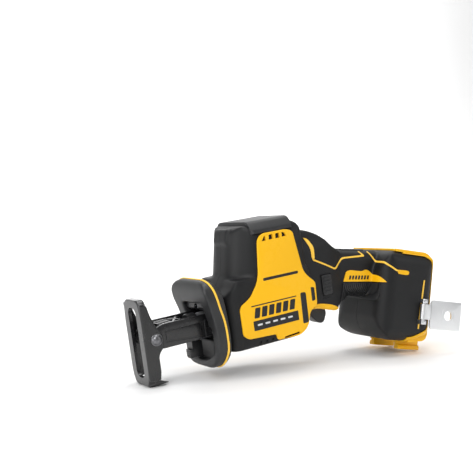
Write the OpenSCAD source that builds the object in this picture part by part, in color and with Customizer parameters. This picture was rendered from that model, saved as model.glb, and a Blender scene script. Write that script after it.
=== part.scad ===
// Compact reciprocating saw. X runs rearward from the shoe's work face, Z is up,
// and Y = 0, Z = 0 is the blade axis.

/* [Head] */
// Half width of the head without its side covers
head_half_w = 33; // [31:0.5:42]
// Height of the head's top above the blade axis, under the cap
head_top = 81; // [80:0.5:98]
// Depth of the head's underside below the blade axis
head_drop = 25.5; // [24:0.5:34]
// Distance from the shoe's work face to the head's front wall
head_front = 74; // [74:0.5:90]
// Housing wall
wall = 2.6; // [1.6:0.1:3.2]
// Thickness of the yellow side covers
cover_t = 1.5; // [1:0.1:2.4]
// Thickness of the top cap
cap_t = 3; // [2:0.1:5]

/* [Handle and foot] */
// Half width of the handle
handle_half_w = 18; // [15:0.5:22]
// Half height of the handle
handle_half_h = 22; // [18:0.5:25]
// Downward slope of the handle
handle_slope = 10.5; // [8:0.5:12]
// Half width of the foot
foot_half_w = 38; // [32:0.5:46]
// Lean of the foot, its lower end forward
foot_lean = 16; // [12:0.5:18]
// Depth of the foot from front to rear
foot_depth = 66.5; // [62:0.5:80]

/* [Drive] */
// Stroke of the blade
stroke = 16; // [12:0.5:18]
// Tooth module of the gear pair
tooth_module = 0.8; // [0.7:0.05:0.9]
// Teeth on the crank gear
gear_teeth = 53; // [44:1:56]
// Teeth on the motor pinion
pinion_teeth = 12; // [11:1:14]
// Radius of the spindle
spindle_r = 5.5; // [4.6:0.1:6.6]
// Radius of the crank roller
roller_r = 4.5; // [3.7:0.1:5.4]
// Radius of the motor's stator
stator_r = 24; // [20:0.5:26]
// Radial running clearance of shafts in their bushes
run_gap = 0.05; // [0.02:0.01:0.09]

/* [Shoe and bracket] */
// Half width over the shoe's side flanges
shoe_half_w = 17.5; // [16.5:0.5:22]
// Sheet thickness of the shoe
shoe_t = 2; // [1.5:0.1:2.6]
// Height of the shoe above the blade axis
shoe_top = 35; // [30:0.5:42]
// Depth of the shoe below the blade axis
shoe_drop = 40; // [34:0.5:48]
// Wall of the shoe bracket
bracket_t = 2.2; // [1.6:0.1:2.8]
// Radius of the shoe's pivot rivets
rivet_r = 3; // [2.4:0.1:3.6]

/* [Blade clamp] */
// Wall of the blade clamp round the spindle
clamp_wall = 1.2; // [0.9:0.1:1.6]
// Length of the blade clamp
clamp_len = 20; // [17:0.5:22]
// Width of the blade slot
blade_slot_w = 1.8; // [1.5:0.1:2.2]

/* [Hang hook] */
// Length of the hook plate
hook_len = 41; // [34:0.5:50]
// Height of the hook plate
hook_h = 28.5; // [24:0.5:34]
// Thickness of the hook plate
hook_t = 1.5; // [1.2:0.1:2]
// Radius of the hanging hole
hook_hole_r = 4.75; // [4:0.05:5.7]

/* [Hidden] */
$fn = 48;
FRAME_NODES = ["housing_left", "housing_right", "side_cover_left", "side_cover_right",
    "top_cap", "guard_boot", "guard_piping", "shoe_bracket", "nose_trim",
    "led_lens", "grip_top", "grip_ribbed", "badge_left", "badge_right", "foot_trim",
    "battery_rails", "terminal_block", "terminals", "control_module", "switch_body"];
DRIVE_NODES = ["gear_case", "gear_case_cover", "front_bush", "rear_bush", "spindle_seal",
    "stator_core", "stator_coils", "lower_bearing", "upper_bearing", "bearing_holder",
    "crank_gear", "crank_roller", "rotor_shaft", "rotor_core", "fan", "spindle",
    "blade_clamp", "clamp_pin"];
MOVING_NODES = ["shoe", "shoe_rivet_left", "shoe_rivet_right", "release_lever", "trigger",
    "trigger_pin", "trigger_spring", "lock_button", "hang_hook", "hook_pin"];
SCREW_NODES = ["housing_screw_1", "housing_screw_2", "housing_screw_3", "housing_screw_4",
    "housing_screw_5", "housing_screw_6", "bracket_screw_left", "bracket_screw_right",
    "case_screw_1", "case_screw_2", "case_screw_3", "case_screw_4"];

yellow = "#ffc61a";
rubber = "#2b2c2e";
nylon = "#333437";
steel = "#b9bcc0";
black_steel = "#26272a";
cast_alloy = "#9a9da1";
bronze = "#b98b4a";
copper = "#b8693a";

fit_gap = 0.3;
corner_steps = 4;
far = 400;

// Drive layout
crank_throw = stroke / 2;
gear_r = tooth_module * gear_teeth / 2;
pinion_r = tooth_module * pinion_teeth / 2;
crank_x = head_front + 30;
motor_x = crank_x + gear_r + pinion_r;
slot_gap = crank_throw * 0.25;
slot_half_x = roller_r + slot_gap;
slot_half_y = crank_throw + roller_r + 1.2;
yoke_wall = 3.6;
yoke_half_x = slot_half_x + yoke_wall;
yoke_half_y = slot_half_y + yoke_wall;
yoke_half_z = 6;
gear_z = 12;
gear_h = 8;
case_wall = 2.6;
case_top = gear_z + gear_h + 2;
case_floor = -yoke_half_z - 3;
case_half_y = gear_r + tooth_module + 1 + case_wall;
case_front = crank_x - gear_r - tooth_module - 1 - case_wall;
bush_t = 2.5;
bush_len = 12;
rear_bush_x = crank_x + yoke_half_x + crank_throw + 5;
case_rear = max(rear_bush_x + bush_len + 2, motor_x + pinion_r + tooth_module + 4.5);
nose_r = spindle_r + bush_t + 3.4;
axle_r = 4;
clamp_r = spindle_r + clamp_wall;
clamp_front = 27;
clamp_pin_r = 1.5;
nose_front = case_front - 17;
spindle_front = 38;
clamp_pin_x = spindle_front + 5;
spindle_rear = rear_bush_x + bush_len + crank_throw - 0.5;

// Motor layout
cover_t_z = 3;
cover_boss_h = 6;
stator_z = case_top + cover_t_z + cover_boss_h + 6;
stator_h = 18;
rotor_r = stator_r * 0.5;
air_gap = 0.5;
shaft_r = 2.5;
bearing_r = 6.5;
bearing_h = 5;
fan_z = stator_z + stator_h + 4.5;
fan_h = 5;
fan_r = stator_r - 4;
holder_z = fan_z + fan_h + 1;
shaft_top = holder_z + bearing_h;

// Places in the housing
foot_x = head_front + 201;
foot_z = -10;
foot_low = -49.5;
foot_high = 38;
foot_rear_u = 32;
foot_front_u = foot_rear_u - foot_depth;
handle_x = head_front + 155;
handle_z = 16;
neck_half_w = 24;
opening_half_y = shoe_half_w + 0.5;
opening_low = -14;
opening_high = 21;
side_y = head_half_w + cover_t;
boss_r = 4;
screw_r = 1.6;
screw_head_r = 3;
SCREWS = from_head([[9, -head_drop + 6.3, head_half_w], [66, -head_drop + 6.6, head_half_w],
    [30, head_top - 21, head_half_w - 4.3], [98, 44, neck_half_w], [162, 20, handle_half_w],
    [188, -32, foot_half_w]]);

// Shoe layout
pivot_x = 11.4;
ear_y = shoe_half_w - shoe_t - fit_gap;
bracket_low = -9.4;
bracket_high = 11.5;
bracket_end = case_front - 3;
rail_low = -8.4;

// Trigger layout
trigger_x = head_front + 104;
trigger_z = 0;
trigger_half_w = 6.5;
trigger_pin_r = 1.5;
trigger_gap = 0.6;
lock_x = head_front + 112.5;
lock_z = 13;
lock_half_x = 5.5;
lock_half_z = 9.5;
lock_gap = 0.4;

// Hook layout, in the foot's own frame
hook_u = 14;
hook_w = -18.6;
hook_barrel_r = 3.2;
hook_pin_r = 1.6;
hook_y = foot_half_w + hook_barrel_r + 0.6;
hook_barrel_h = 15;
hook_low = -35;
hook_lug_h = 4.4;

// ---- outlines ----

// An outline whose x values count from the head's front wall
function from_head(pts) = [for (p = pts) [p[0] + head_front, p[1], p[2]]];

// Unit vector along v
function unit(v) = v / norm(v);

// A corner at b between a and c, cut back and rounded, within half of each edge
function corner(a, b, c, cut) =
    let (d = min(cut, 0.48 * norm(a - b), 0.48 * norm(c - b)))
    let (p = b + unit(a - b) * d, q = b + unit(c - b) * d)
    [for (i = [0:corner_steps]) let (t = i / corner_steps)
        (1 - t) * (1 - t) * p + 2 * t * (1 - t) * b + t * t * q];

function flat(p) = [p[0], p[1]];

// An outline whose points are [x, y, corner cut]
function soft(pts) = let (n = len(pts)) [for (i = [0:n - 1])
    each pts[i][2] == 0 ? [flat(pts[i])]
        : corner(flat(pts[(i + n - 1) % n]), flat(pts[i]), flat(pts[(i + 1) % n]), pts[i][2])];

// Inward normal of the edge from a to b of an anticlockwise outline
function inward(a, b) = let (e = unit(flat(b) - flat(a))) [-e[1], e[0]];

// The same outline moved inwards by d
function inset(pts, d) = let (n = len(pts)) [for (i = [0:n - 1])
    let (m = inward(pts[(i + n - 1) % n], pts[i]), k = inward(pts[i], pts[(i + 1) % n]))
    let (p = flat(pts[i]) + (m + k) * d / (1 + m * k))
    [p[0], p[1], max(pts[i][2] - d, 0)]];

// Rounded rectangle outline
function block(x0, x1, y0, y1, cut) =
    [[x0, y0, cut], [x1, y0, cut], [x1, y1, cut], [x0, y1, cut]];

module along_y(half) { rotate([90, 0, 0]) linear_extrude(2 * half, center = true) children(); }
module along_x(x, len) { translate([x, 0, 0]) rotate([90, 0, 90]) linear_extrude(len) children(); }
module along_z(z, len) { translate([0, 0, z]) linear_extrude(len) children(); }
module outline(pts, d = 0) { polygon(soft(inset(pts, d))); }
module rod_x(x, r, len) { translate([x, 0, 0]) rotate([0, 90, 0]) cylinder(r = r, h = len); }
module rod_y(x, y, z, r, len) { translate([x, y, z]) rotate([-90, 0, 0]) cylinder(r = r, h = len); }
module bore_y(x, z, r) { rod_y(x, -far / 2, z, r, far); }
module cuboid(x, y, z) { translate([x[0], y[0], z[0]]) cube([x[1] - x[0], y[1] - y[0], z[1] - z[0]]); }
module in_foot() { translate([foot_x, 0, foot_z]) rotate([0, foot_lean, 0]) children(); }
module in_handle() { translate([handle_x, 0, handle_z]) rotate([0, handle_slope, 0]) children(); }
module half(side) { cuboid([-10, far], side < 0 ? [-far, 0] : [0, far], [-far, far]); }

// ---- housing form, shrunk by d ----

HEAD_LOWER = from_head([[0, -head_drop, 3], [70, -head_drop, 8], [80, -19, 5], [84, -6, 4],
    [93, -2, 3], [94, 21, 3], [89, 27, 3], [88, 36, 0], [12, 36, 0],
    [8, 29, 4], [0, 21, 5]]);
HEAD_UPPER = from_head([[13, 28, 0], [89, 28, 0], [87, 42, 5], [88.5, 60, 4],
    [85, head_top - 5, 5], [76, head_top, 5], [29, head_top, 4],
    [24, head_top - 8, 4], [16, 42, 5]]);
HEAD_TOP_VIEW = from_head([[0, -head_half_w, 16], [98, -head_half_w, 10], [98, head_half_w, 10],
    [0, head_half_w, 16]]);
HEAD_TOP_PLAN = block(head_front, head_front + 92, -head_half_w, head_half_w, 14);
// Round front of the upper head, which leans back
head_lean = 11;
HEAD_BOW = [[0, -head_half_w, 26], [120, -head_half_w, 0], [120, head_half_w, 0],
    [0, head_half_w, 26]];
HEAD_FRONT_VIEW = [[-head_half_w, -head_drop, 5], [head_half_w, -head_drop, 5],
    [head_half_w, head_top - 10, 6], [head_half_w - 7, head_top, 5],
    [7 - head_half_w, head_top, 5], [-head_half_w, head_top - 10, 6]];
NECK_SIDE = from_head([[84, -5, 0], [102, -7, 2], [123, -14, 3], [127, -9, 3], [138, -4, 0],
    [138, 40, 0], [124, 49, 6], [116, 57.5, 5], [107, 64, 5], [96, 68, 4], [82, 69, 0]]);
NECK_PLAN = from_head([[80, -neck_half_w, 0], [116, -neck_half_w, 8], [140, -handle_half_w + 2, 0],
    [140, handle_half_w - 2, 0], [116, neck_half_w, 8], [80, neck_half_w, 0]]);
NECK_FRONT_VIEW = [[-neck_half_w, -14, 6], [neck_half_w, -14, 6], [neck_half_w, 54, 8],
    [neck_half_w - 10, 70, 6], [10 - neck_half_w, 70, 6], [-neck_half_w, 54, 8]];
HANDLE_SECTION = block(-handle_half_w, handle_half_w, -handle_half_h, handle_half_h, 11);
FOOT_SIDE = [[foot_front_u, -33, 6], [foot_front_u + 8, -44.5, 8], [-15, foot_low, 4],
    [4, foot_low + 0.5, 5], [foot_rear_u - 3, -37.5, 6], [foot_rear_u, foot_high - 10, 6],
    [foot_rear_u - 10, foot_high, 6], [foot_front_u + 8, foot_high, 10], [foot_front_u, 20, 8]];
FOOT_PLAN = block(foot_front_u, foot_rear_u, -foot_half_w, foot_half_w, 14);
FOOT_FRONT_VIEW = block(-foot_half_w, foot_half_w, foot_low, foot_high, 12);

module head_lower_form(d) {
    intersection() {
        along_y(head_half_w - d) outline(HEAD_LOWER, d);
        along_x(head_front - 1, 110) outline(HEAD_FRONT_VIEW, d);
        along_z(-head_drop - 1, 90) outline(HEAD_TOP_VIEW, d);
    }
}

module head_upper_form(d) {
    intersection() {
        along_y(head_half_w - d) outline(HEAD_UPPER, d);
        along_x(head_front - 1, 110) outline(HEAD_FRONT_VIEW, d);
        along_z(20, 90) outline(HEAD_TOP_PLAN, d);
        translate([head_front + 12.5, 0, 28]) rotate([0, head_lean, 0])
            along_z(-20, 100) outline(HEAD_BOW, d);
    }
}

module neck_form(d) {
    intersection() {
        along_y(neck_half_w - d) outline(NECK_SIDE, d);
        along_x(head_front + 66, 90) outline(NECK_FRONT_VIEW, d);
        along_z(-30, 120) outline(NECK_PLAN, d);
    }
}

module handle_form(d) {
    in_handle() along_x(-36 + d, 62 - d) outline(HANDLE_SECTION, d);
}

module foot_form(d) {
    in_foot() intersection() {
        along_y(foot_half_w - d) outline(FOOT_SIDE, d);
        along_x(foot_front_u - 1, foot_depth + 2) outline(FOOT_FRONT_VIEW, d);
        along_z(foot_low - 1, 100) outline(FOOT_PLAN, d);
    }
}

module housing_form(d) {
    head_lower_form(d);
    head_upper_form(d);
    neck_form(d);
    handle_form(d);
    foot_form(d);
}

// Window in the head's front wall for the nose, the bracket and the lamp
module nose_window() {
    cuboid([head_front - 30, head_front + wall + 8], [-1, 1] * opening_half_y, [opening_low, opening_high]);
}

// Recess that the battery's head slides into
module battery_recess() {
    in_foot() cuboid([-2, foot_rear_u + 2], [-23, 23], [foot_low - 2, -38]);
}

module trigger_slot() {
    cuboid([trigger_x - 4, trigger_x + 19], [-1, 1] * (trigger_half_w + trigger_gap), [-40, 8]);
}

module lock_slot() {
    across = lock_half_x + lock_gap;
    high = lock_half_z + lock_gap;
    cuboid([lock_x - across, lock_x + across], [-far, far], [lock_z - high, lock_z + high]);
}

cradle_h = 6;

// Ring and webs that hold the stator
module motor_cradle() {
    low = stator_z + 6;
    intersection() {
        head_upper_form(wall / 2);
        difference() {
            union() {
                translate([motor_x, 0, low]) cylinder(r = stator_r + 2, h = cradle_h);
                cuboid([motor_x - 12, motor_x + 12], [-head_half_w, head_half_w], [low, low + cradle_h]);
            }
            translate([motor_x, 0, low - 1]) cylinder(r = stator_r, h = cradle_h + 2);
        }
    }
}

// Webs that hold the gear case from both sides
module case_webs() {
    for (s = [-1, 1]) {
        translate([0, s * (case_half_y + head_half_w) / 2, 0])
            cuboid([crank_x - 8, crank_x + 8], [-1, 1] * (head_half_w - 1 - case_half_y) / 2, [-6, 6]);
    }
}

// Posts for the screws that close the housing
module screw_posts() {
    for (s = SCREWS) rod_y(s[0], -s[2] + 1, s[1], boss_r, 2 * s[2] - 2);
}

module screw_hole(s) {
    rod_y(s[0], -s[2] + 6, s[1], screw_r, s[2] - 6);
    rod_y(s[0], 0, s[1], screw_r + 0.2, far);
    rod_y(s[0], s[2] - 5, s[1], screw_head_r + 0.3, far);
}

module housing_half(side) {
    intersection() {
        difference() {
            housing_form(0);
            difference() {
                housing_form(wall);
                screw_posts();
            }
            nose_window();
            battery_recess();
            trigger_slot();
            lock_slot();
            for (s = SCREWS) screw_hole(s);
        }
        half(side);
    }
    intersection() {
        union() {
            motor_cradle();
            case_webs();
        }
        half(side);
    }
}

module housing_left() { color(nylon) housing_half(-1); }
module housing_right() { color(nylon) housing_half(1); }

// ---- side covers and trim ----

COVER_SIDE = from_head([[11, -12, 2], [16, -16, 2], [44, -17.5, 2], [45, -23, 2],
    [70, -24, 6], [79, -18, 4], [83, -5, 3], [91.5, -1, 3], [92.5, 20.5, 3], [87, 25, 3],
    [81, 32, 5], [76.5, 60, 3], [75, head_top - 11, 3], [68, head_top - 8.5, 3],
    [43, head_top - 8.5, 3], [37.5, head_top - 13, 4], [33.5, 33, 7], [23, 19.5, 3],
    [11, 13, 4]]);
vent_w = 4.5;
vent_low = 66.2;
vent_high = 70.8;
VENTS = [for (i = [0:3]) head_front + 42 + 7 * i];
// Dark slots, cut right through the cover
COVER_SLOTS = [[[37.5, 31.4, 1], [75, 31.4, 1], [75, 34, 1], [37.5, 34, 1]],
    [[73.4, -14.5, 1], [79.8, -14.5, 1], [80.4, 13.6, 2], [74, 13.6, 2]],
    [[86, 3.5, 1], [90, 3.5, 1], [90, 16.4, 1], [86, 16.4, 1]]];

module side_cover(side) {
    color(yellow) difference() {
        intersection() {
            along_y(side_y) outline(COVER_SIDE);
            translate([0, side * (head_half_w + cover_t / 2), 0])
                cuboid([0, far], [-1, 1] * cover_t / 2, [-50, 120]);
        }
        for (x = VENTS) cuboid([x, x + vent_w], [-far, far], [vent_low, vent_high]);
        for (slot = COVER_SLOTS) along_y(far) outline(from_head(slot));
    }
}

module side_cover_left() { side_cover(-1); }
module side_cover_right() { side_cover(1); }

lid_front = head_front + 34;
// Front view of the lid, which reaches down over the head's top edges
LID_FRONT = [[-head_half_w - 0.4, head_top - 8, 0], [head_half_w + 0.4, head_top - 8, 0],
    [head_half_w - 0.6, head_top - 5, 1], [head_half_w - 7, head_top + cap_t - 1, 2],
    [head_half_w - 11, head_top + cap_t, 1], [11 - head_half_w, head_top + cap_t, 1],
    [7 - head_half_w, head_top + cap_t - 1, 2], [0.6 - head_half_w, head_top - 5, 1]];

module top_cap() {
    color(rubber) intersection() {
        difference() {
            along_x(lid_front, 44) polygon(soft(LID_FRONT));
            head_upper_form(0);
        }
        along_z(head_top - 20, cap_t + 22)
            outline(block(lid_front, lid_front + 43, -side_y, side_y, 5));
    }
}

GUARD_SIDE = [[57.5, -38, 5], [70, -37, 4], [head_front, -24, 5], [head_front, 8, 6],
    [head_front - 3, 24, 6], [68, 36, 4], [63, 41.5, 3], [56, 41.5, 4], [53, 34, 5], [55.5, 22, 5],
    [60, 5, 8], [61, -12, 6]];
PIPING_SIDE = [[65.2, -40, 0], [67.4, -40, 0], [71.3, -20, 5], [70.6, 5, 5], [66, 20.5, 5],
    [63.6, 33, 4], [60.5, 46, 0], [58.6, 46, 0], [61.7, 33, 4], [64.1, 20, 5], [68.7, 5, 5],
    [69.4, -20, 5]];
GUARD_RIM = [[-20, -37, 8], [20, -37, 8], [31, -26, 8], [33, -8, 6], [32, 6, 6], [35, 26, 9],
    [31, 37, 7], [20, 41.5, 6], [-20, 41.5, 6], [-31, 37, 7], [-35, 26, 9], [-32, 6, 6],
    [-33, -8, 6], [-31, -26, 8]];

// Channel in the guard that leaves the release lever room to swing
module lever_recess() {
    translate([40, 0, 0]) rotate([0, 90, 0]) intersection() {
        cylinder(r = 31, h = 27);
        translate([0, -22, -1]) cube([40, 44, 40]);
    }
}

module guard_form(side_pts, grow) {
    intersection() {
        along_y(40) polygon(soft(side_pts));
        along_x(40, 40) outline(GUARD_RIM, -grow);
    }
}

module guard_boot() {
    color(rubber) difference() {
        guard_form(GUARD_SIDE, 0);
        cuboid([30, 90], [-1, 1] * opening_half_y, [opening_low, opening_high]);
        lever_recess();
        intersection() {
            along_y(40) polygon(soft(PIPING_SIDE));
            difference() {
                along_x(40, 40) outline(GUARD_RIM, -2);
                along_x(39, 42) outline(GUARD_RIM, 1.2);
            }
        }
    }
}

module guard_piping() {
    color(yellow) difference() {
        guard_form(PIPING_SIDE, 0.5);
        along_x(39, 42) outline(GUARD_RIM, 1.2);
    }
}

// ---- shoe and bracket ----

SHOE_FACE = [[-14, -shoe_drop + 1, 5], [14, -shoe_drop + 1, 5], [shoe_half_w, -27, 5],
    [shoe_half_w, 20, 5], [14, shoe_top, 5], [-14, shoe_top, 5], [-shoe_half_w, 20, 5],
    [-shoe_half_w, -27, 5]];
SHOE_FLANGE = [[0, -shoe_drop + 7, 0], [10.3, -35, 2], [11.8, -27, 2], [12, -13, 3], [17.2, -8, 3],
    [17.6, 4, 4], [13, 10, 3], [8.8, 20, 3], [6.5, shoe_top - 4, 3], [0, shoe_top - 3, 0]];
// Depth of the rim folded back round the shoe's face
shoe_rim = 7;
SHOE_SPUR = [[0, -shoe_drop + 1.5, 0], [2.3, -shoe_drop, 1], [20.5, -shoe_drop + 1, 0],
    [11, -shoe_drop + 5, 2], [2, -shoe_drop + 7, 0], [0, -shoe_drop + 7, 0]];
window_half_w = 8;
window_low = -32;
window_high = 28;

module shoe() {
    color(black_steel) difference() {
        union() {
            intersection() {
                along_x(0, shoe_rim) outline(SHOE_FACE);
                along_y(shoe_half_w) outline(block(0, shoe_rim, -shoe_drop, shoe_top, 0.8));
            }
            for (s = [-1, 1]) {
                translate([0, s * (shoe_half_w - shoe_t / 2), 0])
                    along_y(shoe_t / 2) outline(SHOE_FLANGE);
            }
            intersection() {
                along_y(14) outline(SHOE_SPUR);
                along_z(-60, 60) outline(block(-1, 21, -12, 12, 3));
            }
        }
        along_x(-1, 12) outline(block(-window_half_w, window_half_w, window_low, window_high, 6));
        along_x(3.2, 12) outline(SHOE_FACE, shoe_t);
        bore_y(pivot_x, 0, rivet_r);
    }
}

module shoe_rivet(side) {
    color(steel) mirror([0, side < 0 ? 1 : 0, 0]) {
        rod_y(pivot_x, ear_y - bracket_t - 0.4, 0, rivet_r, bracket_t + shoe_t + fit_gap + 0.4);
        translate([pivot_x, shoe_half_w, 0]) rotate([-90, 0, 0]) rotate_extrude()
            polygon([[0, 0], [5.2, 0], [5.2, 0.9], [4.3, 2.1], [2.6, 2.9], [0, 3.1]]);
    }
}

module shoe_rivet_left() { shoe_rivet(-1); }
module shoe_rivet_right() { shoe_rivet(1); }

BRACKET_SIDE = [[pivot_x - 5.5, -5.5, 3], [pivot_x + 5, bracket_low, 3], [bracket_end, bracket_low, 0],
    [bracket_end, bracket_high, 0], [pivot_x + 7, bracket_high, 4], [pivot_x - 5.5, 5.5, 3]];
rib_w = 1.4;
rib_pitch = 3.4;
bracket_screw_x = bracket_end - 5;

module shoe_bracket() {
    inner = ear_y - bracket_t;
    color(black_steel) difference() {
        union() {
            for (s = [-1, 1]) {
                translate([0, s * (ear_y - bracket_t / 2), 0])
                    along_y(bracket_t / 2) outline(BRACKET_SIDE);
            }
            for (i = [0:3]) {
                translate([19 + i * rib_pitch, 0, 0])
                    cuboid([0, rib_w], [-inner, inner], [bracket_high - 3, bracket_high - 0.6]);
            }
            for (a = [-1, 1]) {
                translate([38, 0, bracket_high - 3]) rotate([0, 0, a * 32])
                    cuboid([-1, 1], [-inner / cos(32) + 0.8, inner / cos(32) - 0.8], [0, 2.2]);
            }
            cuboid([19, 27], [-inner, inner], [bracket_low, rail_low + 1]);
            cuboid([bracket_end - 1.2, bracket_end], [-inner, inner], [bracket_low, bracket_high]);
        }
        bore_y(pivot_x, 0, rivet_r + run_gap);
        for (s = [-1, 1]) {
            translate([0, s * (ear_y + 0.1), 0])
                cuboid([22, 50], [-0.8, 0.8], [bracket_low + 4, bracket_high - 4.5]);
        }
        rod_x(bracket_end - 5, nose_r, 10);
        bore_y(bracket_screw_x, 0, screw_r);
    }
}

module bracket_screw(side) {
    color(steel) mirror([0, side < 0 ? 1 : 0, 0]) {
        rod_y(bracket_screw_x, nose_r - 2.5, 0, screw_r, ear_y - nose_r + 2.5);
        rod_y(bracket_screw_x, ear_y, 0, screw_head_r, 1.6);
    }
}

module bracket_screw_left() { bracket_screw(-1); }
module bracket_screw_right() { bracket_screw(1); }

// ---- gear case and bushes ----

cover_screw_r = 1.5;
COVER_BOLTS = [for (x = [case_front + 9, case_rear - 4], s = [-1, 1]) [x, s * (case_half_y - 4)]];
case_lid_z = case_top + cover_t_z;
// Side view of case and lid, cut back under the head's sloping front
CASE_SIDE = [[case_front, case_floor - case_wall, 2], [case_rear, case_floor - case_wall, 2],
    [case_rear, case_lid_z, 0], [case_front + 4.4, case_lid_z, 0], [case_front, case_lid_z - 4.4, 0]];

module case_block(z, len) {
    intersection() {
        along_z(z, len) outline(block(case_front, case_rear, -case_half_y, case_half_y, 7));
        along_y(case_half_y) outline(CASE_SIDE);
    }
}

module gear_room(extra) {
    translate([crank_x, 0, 0]) cylinder(r = gear_r + tooth_module + extra, h = case_top + 9);
    translate([motor_x, 0, 0]) cylinder(r = pinion_r + tooth_module + extra + 1, h = case_top + 9);
}

module gear_case() {
    color(cast_alloy) difference() {
        union() {
            case_block(case_floor - case_wall, case_top - case_floor + case_wall);
            rod_x(nose_front, nose_r, case_front - nose_front + 2);
        }
        cuboid([crank_x - yoke_half_x - crank_throw - 1, crank_x + yoke_half_x + crank_throw + 1],
            [-yoke_half_y - 1, yoke_half_y + 1], [case_floor, gear_z]);
        translate([0, 0, yoke_half_z + 3]) gear_room(1);
        rod_x(nose_front - 1, spindle_r + bush_t, case_front - nose_front + 12);
        rod_x(rear_bush_x, spindle_r + bush_t, far);
        rod_x(rear_bush_x - 8, spindle_r + 1, 20);
        for (b = COVER_BOLTS) translate([b[0], b[1], case_top - 10]) cylinder(r = cover_screw_r, h = 20);
        bore_y(bracket_screw_x, 0, screw_r);
    }
}

module gear_case_cover() {
    color(cast_alloy) difference() {
        union() {
            case_block(case_top, cover_t_z);
            translate([crank_x, 0, case_top]) cylinder(r = 8, h = cover_t_z + cover_boss_h);
            translate([motor_x, 0, case_top]) cylinder(r = bearing_r + 2.5, h = cover_t_z + cover_boss_h - 2);
        }
        translate([crank_x, 0, case_top - 1]) cylinder(r = axle_r + run_gap, h = 20);
        translate([motor_x, 0, case_top - 1]) cylinder(r = shaft_r + 1.2, h = 20);
        translate([motor_x, 0, case_top + 2]) cylinder(r = bearing_r, h = 20);
        for (b = COVER_BOLTS) translate([b[0], b[1], case_top - 1]) cylinder(r = cover_screw_r + 0.2, h = 20);
    }
}

module bush(x) {
    color(bronze) difference() {
        rod_x(x, spindle_r + bush_t, bush_len);
        rod_x(x - 1, spindle_r + run_gap, bush_len + 2);
    }
}

module front_bush() { bush(nose_front + 4.5); }
module rear_bush() { bush(rear_bush_x); }

module spindle_seal() {
    color(rubber) difference() {
        rod_x(nose_front + 0.5, spindle_r + bush_t, 4);
        rod_x(nose_front, spindle_r + fit_gap, 6);
    }
}

// ---- crank, gears and spindle ----

pressure_angle = 20;
tooth_backlash = 0.12;

// Involute flank angle at radius r from base radius rb, in degrees
function involute(rb, r) = let (a = acos(rb / r)) tan(a) * 180 / PI - a;

// Half tooth angle at radius r for n teeth
function half_tooth(n, r) =
    let (rp = tooth_module * n / 2, rb = rp * cos(pressure_angle))
    90 / n - tooth_backlash / rp * 90 / PI + involute(rb, rp) - involute(rb, max(r, rb));

function polar(r, a) = [r * cos(a), r * sin(a)];

// Gear outline with one tooth centred on angle turn
function gear_outline(n, turn) =
    let (rp = tooth_module * n / 2, rb = rp * cos(pressure_angle), tip = rp + 0.7 * tooth_module)
    let (root = rp - 1.05 * tooth_module, low = max(rb, root + 0.02))
    [for (i = [0:n - 1]) let (c = turn + i * 360 / n) each [
        polar(root, c - half_tooth(n, low)), polar(low, c - half_tooth(n, low)),
        polar((low + tip) / 2, c - half_tooth(n, (low + tip) / 2)), polar(tip, c - half_tooth(n, tip)),
        polar(tip, c + half_tooth(n, tip)), polar((low + tip) / 2, c + half_tooth(n, (low + tip) / 2)),
        polar(low, c + half_tooth(n, low)), polar(root, c + half_tooth(n, low))]];

pin_r = 2.5;

module crank_gear() {
    color(steel) difference() {
        union() {
            translate([crank_x, 0, gear_z]) linear_extrude(gear_h) polygon(gear_outline(gear_teeth, 0));
            translate([crank_x, 0, gear_z])
                cylinder(r = axle_r, h = case_top - gear_z + cover_t_z + cover_boss_h);
            translate([crank_x, crank_throw, 0]) {
                translate([0, 0, -yoke_half_z + 1]) cylinder(r = pin_r, h = gear_z + yoke_half_z);
                translate([0, 0, yoke_half_z + 0.4]) cylinder(r = roller_r + 1.5, h = gear_z - yoke_half_z);
            }
        }
        for (a = [150:60:390]) {
            rotate_about(crank_x, a) translate([gear_r * 0.68, 0, gear_z - 1]) cylinder(r = 3, h = gear_h + 2);
        }
    }
}

module rotate_about(x, a) { translate([x, 0, 0]) rotate([0, 0, a]) children(); }

module crank_roller() {
    color(bronze) translate([crank_x, crank_throw, -yoke_half_z + 1]) difference() {
        cylinder(r = roller_r, h = 2 * yoke_half_z - 1);
        translate([0, 0, -1]) cylinder(r = pin_r + run_gap, h = 20);
    }
}

module rotor_shaft() {
    color(steel) {
        translate([motor_x, 0, gear_z]) cylinder(r = shaft_r, h = shaft_top - gear_z);
        translate([motor_x, 0, gear_z]) linear_extrude(gear_h + 1)
            polygon(gear_outline(pinion_teeth, 180 + 180 / pinion_teeth));
    }
}

module ring_z(x, z, r0, r1, h) {
    translate([x, 0, z]) difference() {
        cylinder(r = r1, h = h);
        translate([0, 0, -1]) cylinder(r = r0, h = h + 2);
    }
}

module rotor_core() { color(steel) ring_z(motor_x, stator_z, shaft_r, rotor_r, stator_h); }

blade_count = 11;

module fan() {
    color(nylon) {
        ring_z(motor_x, fan_z, shaft_r, 8, fan_h);
        ring_z(motor_x, fan_z, 8, fan_r, 1.2);
        for (i = [0:blade_count - 1]) {
            rotate_about(motor_x, i * 360 / blade_count) translate([0, 0, fan_z])
                rotate([0, 0, 14]) cuboid([7.6, fan_r - 1.5], [-0.6, 0.6], [0, fan_h - 0.5]);
        }
    }
}

slot_count = 6;

module stator_core() {
    color(steel) difference() {
        ring_z(motor_x, stator_z, rotor_r + air_gap, stator_r, stator_h);
        for (i = [0:slot_count - 1]) {
            rotate_about(motor_x, (i + 0.5) * 360 / slot_count)
                cuboid([rotor_r + 2, stator_r - 3], [-2.5, 2.5], [stator_z - 1, stator_z + stator_h + 1]);
        }
    }
}

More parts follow.
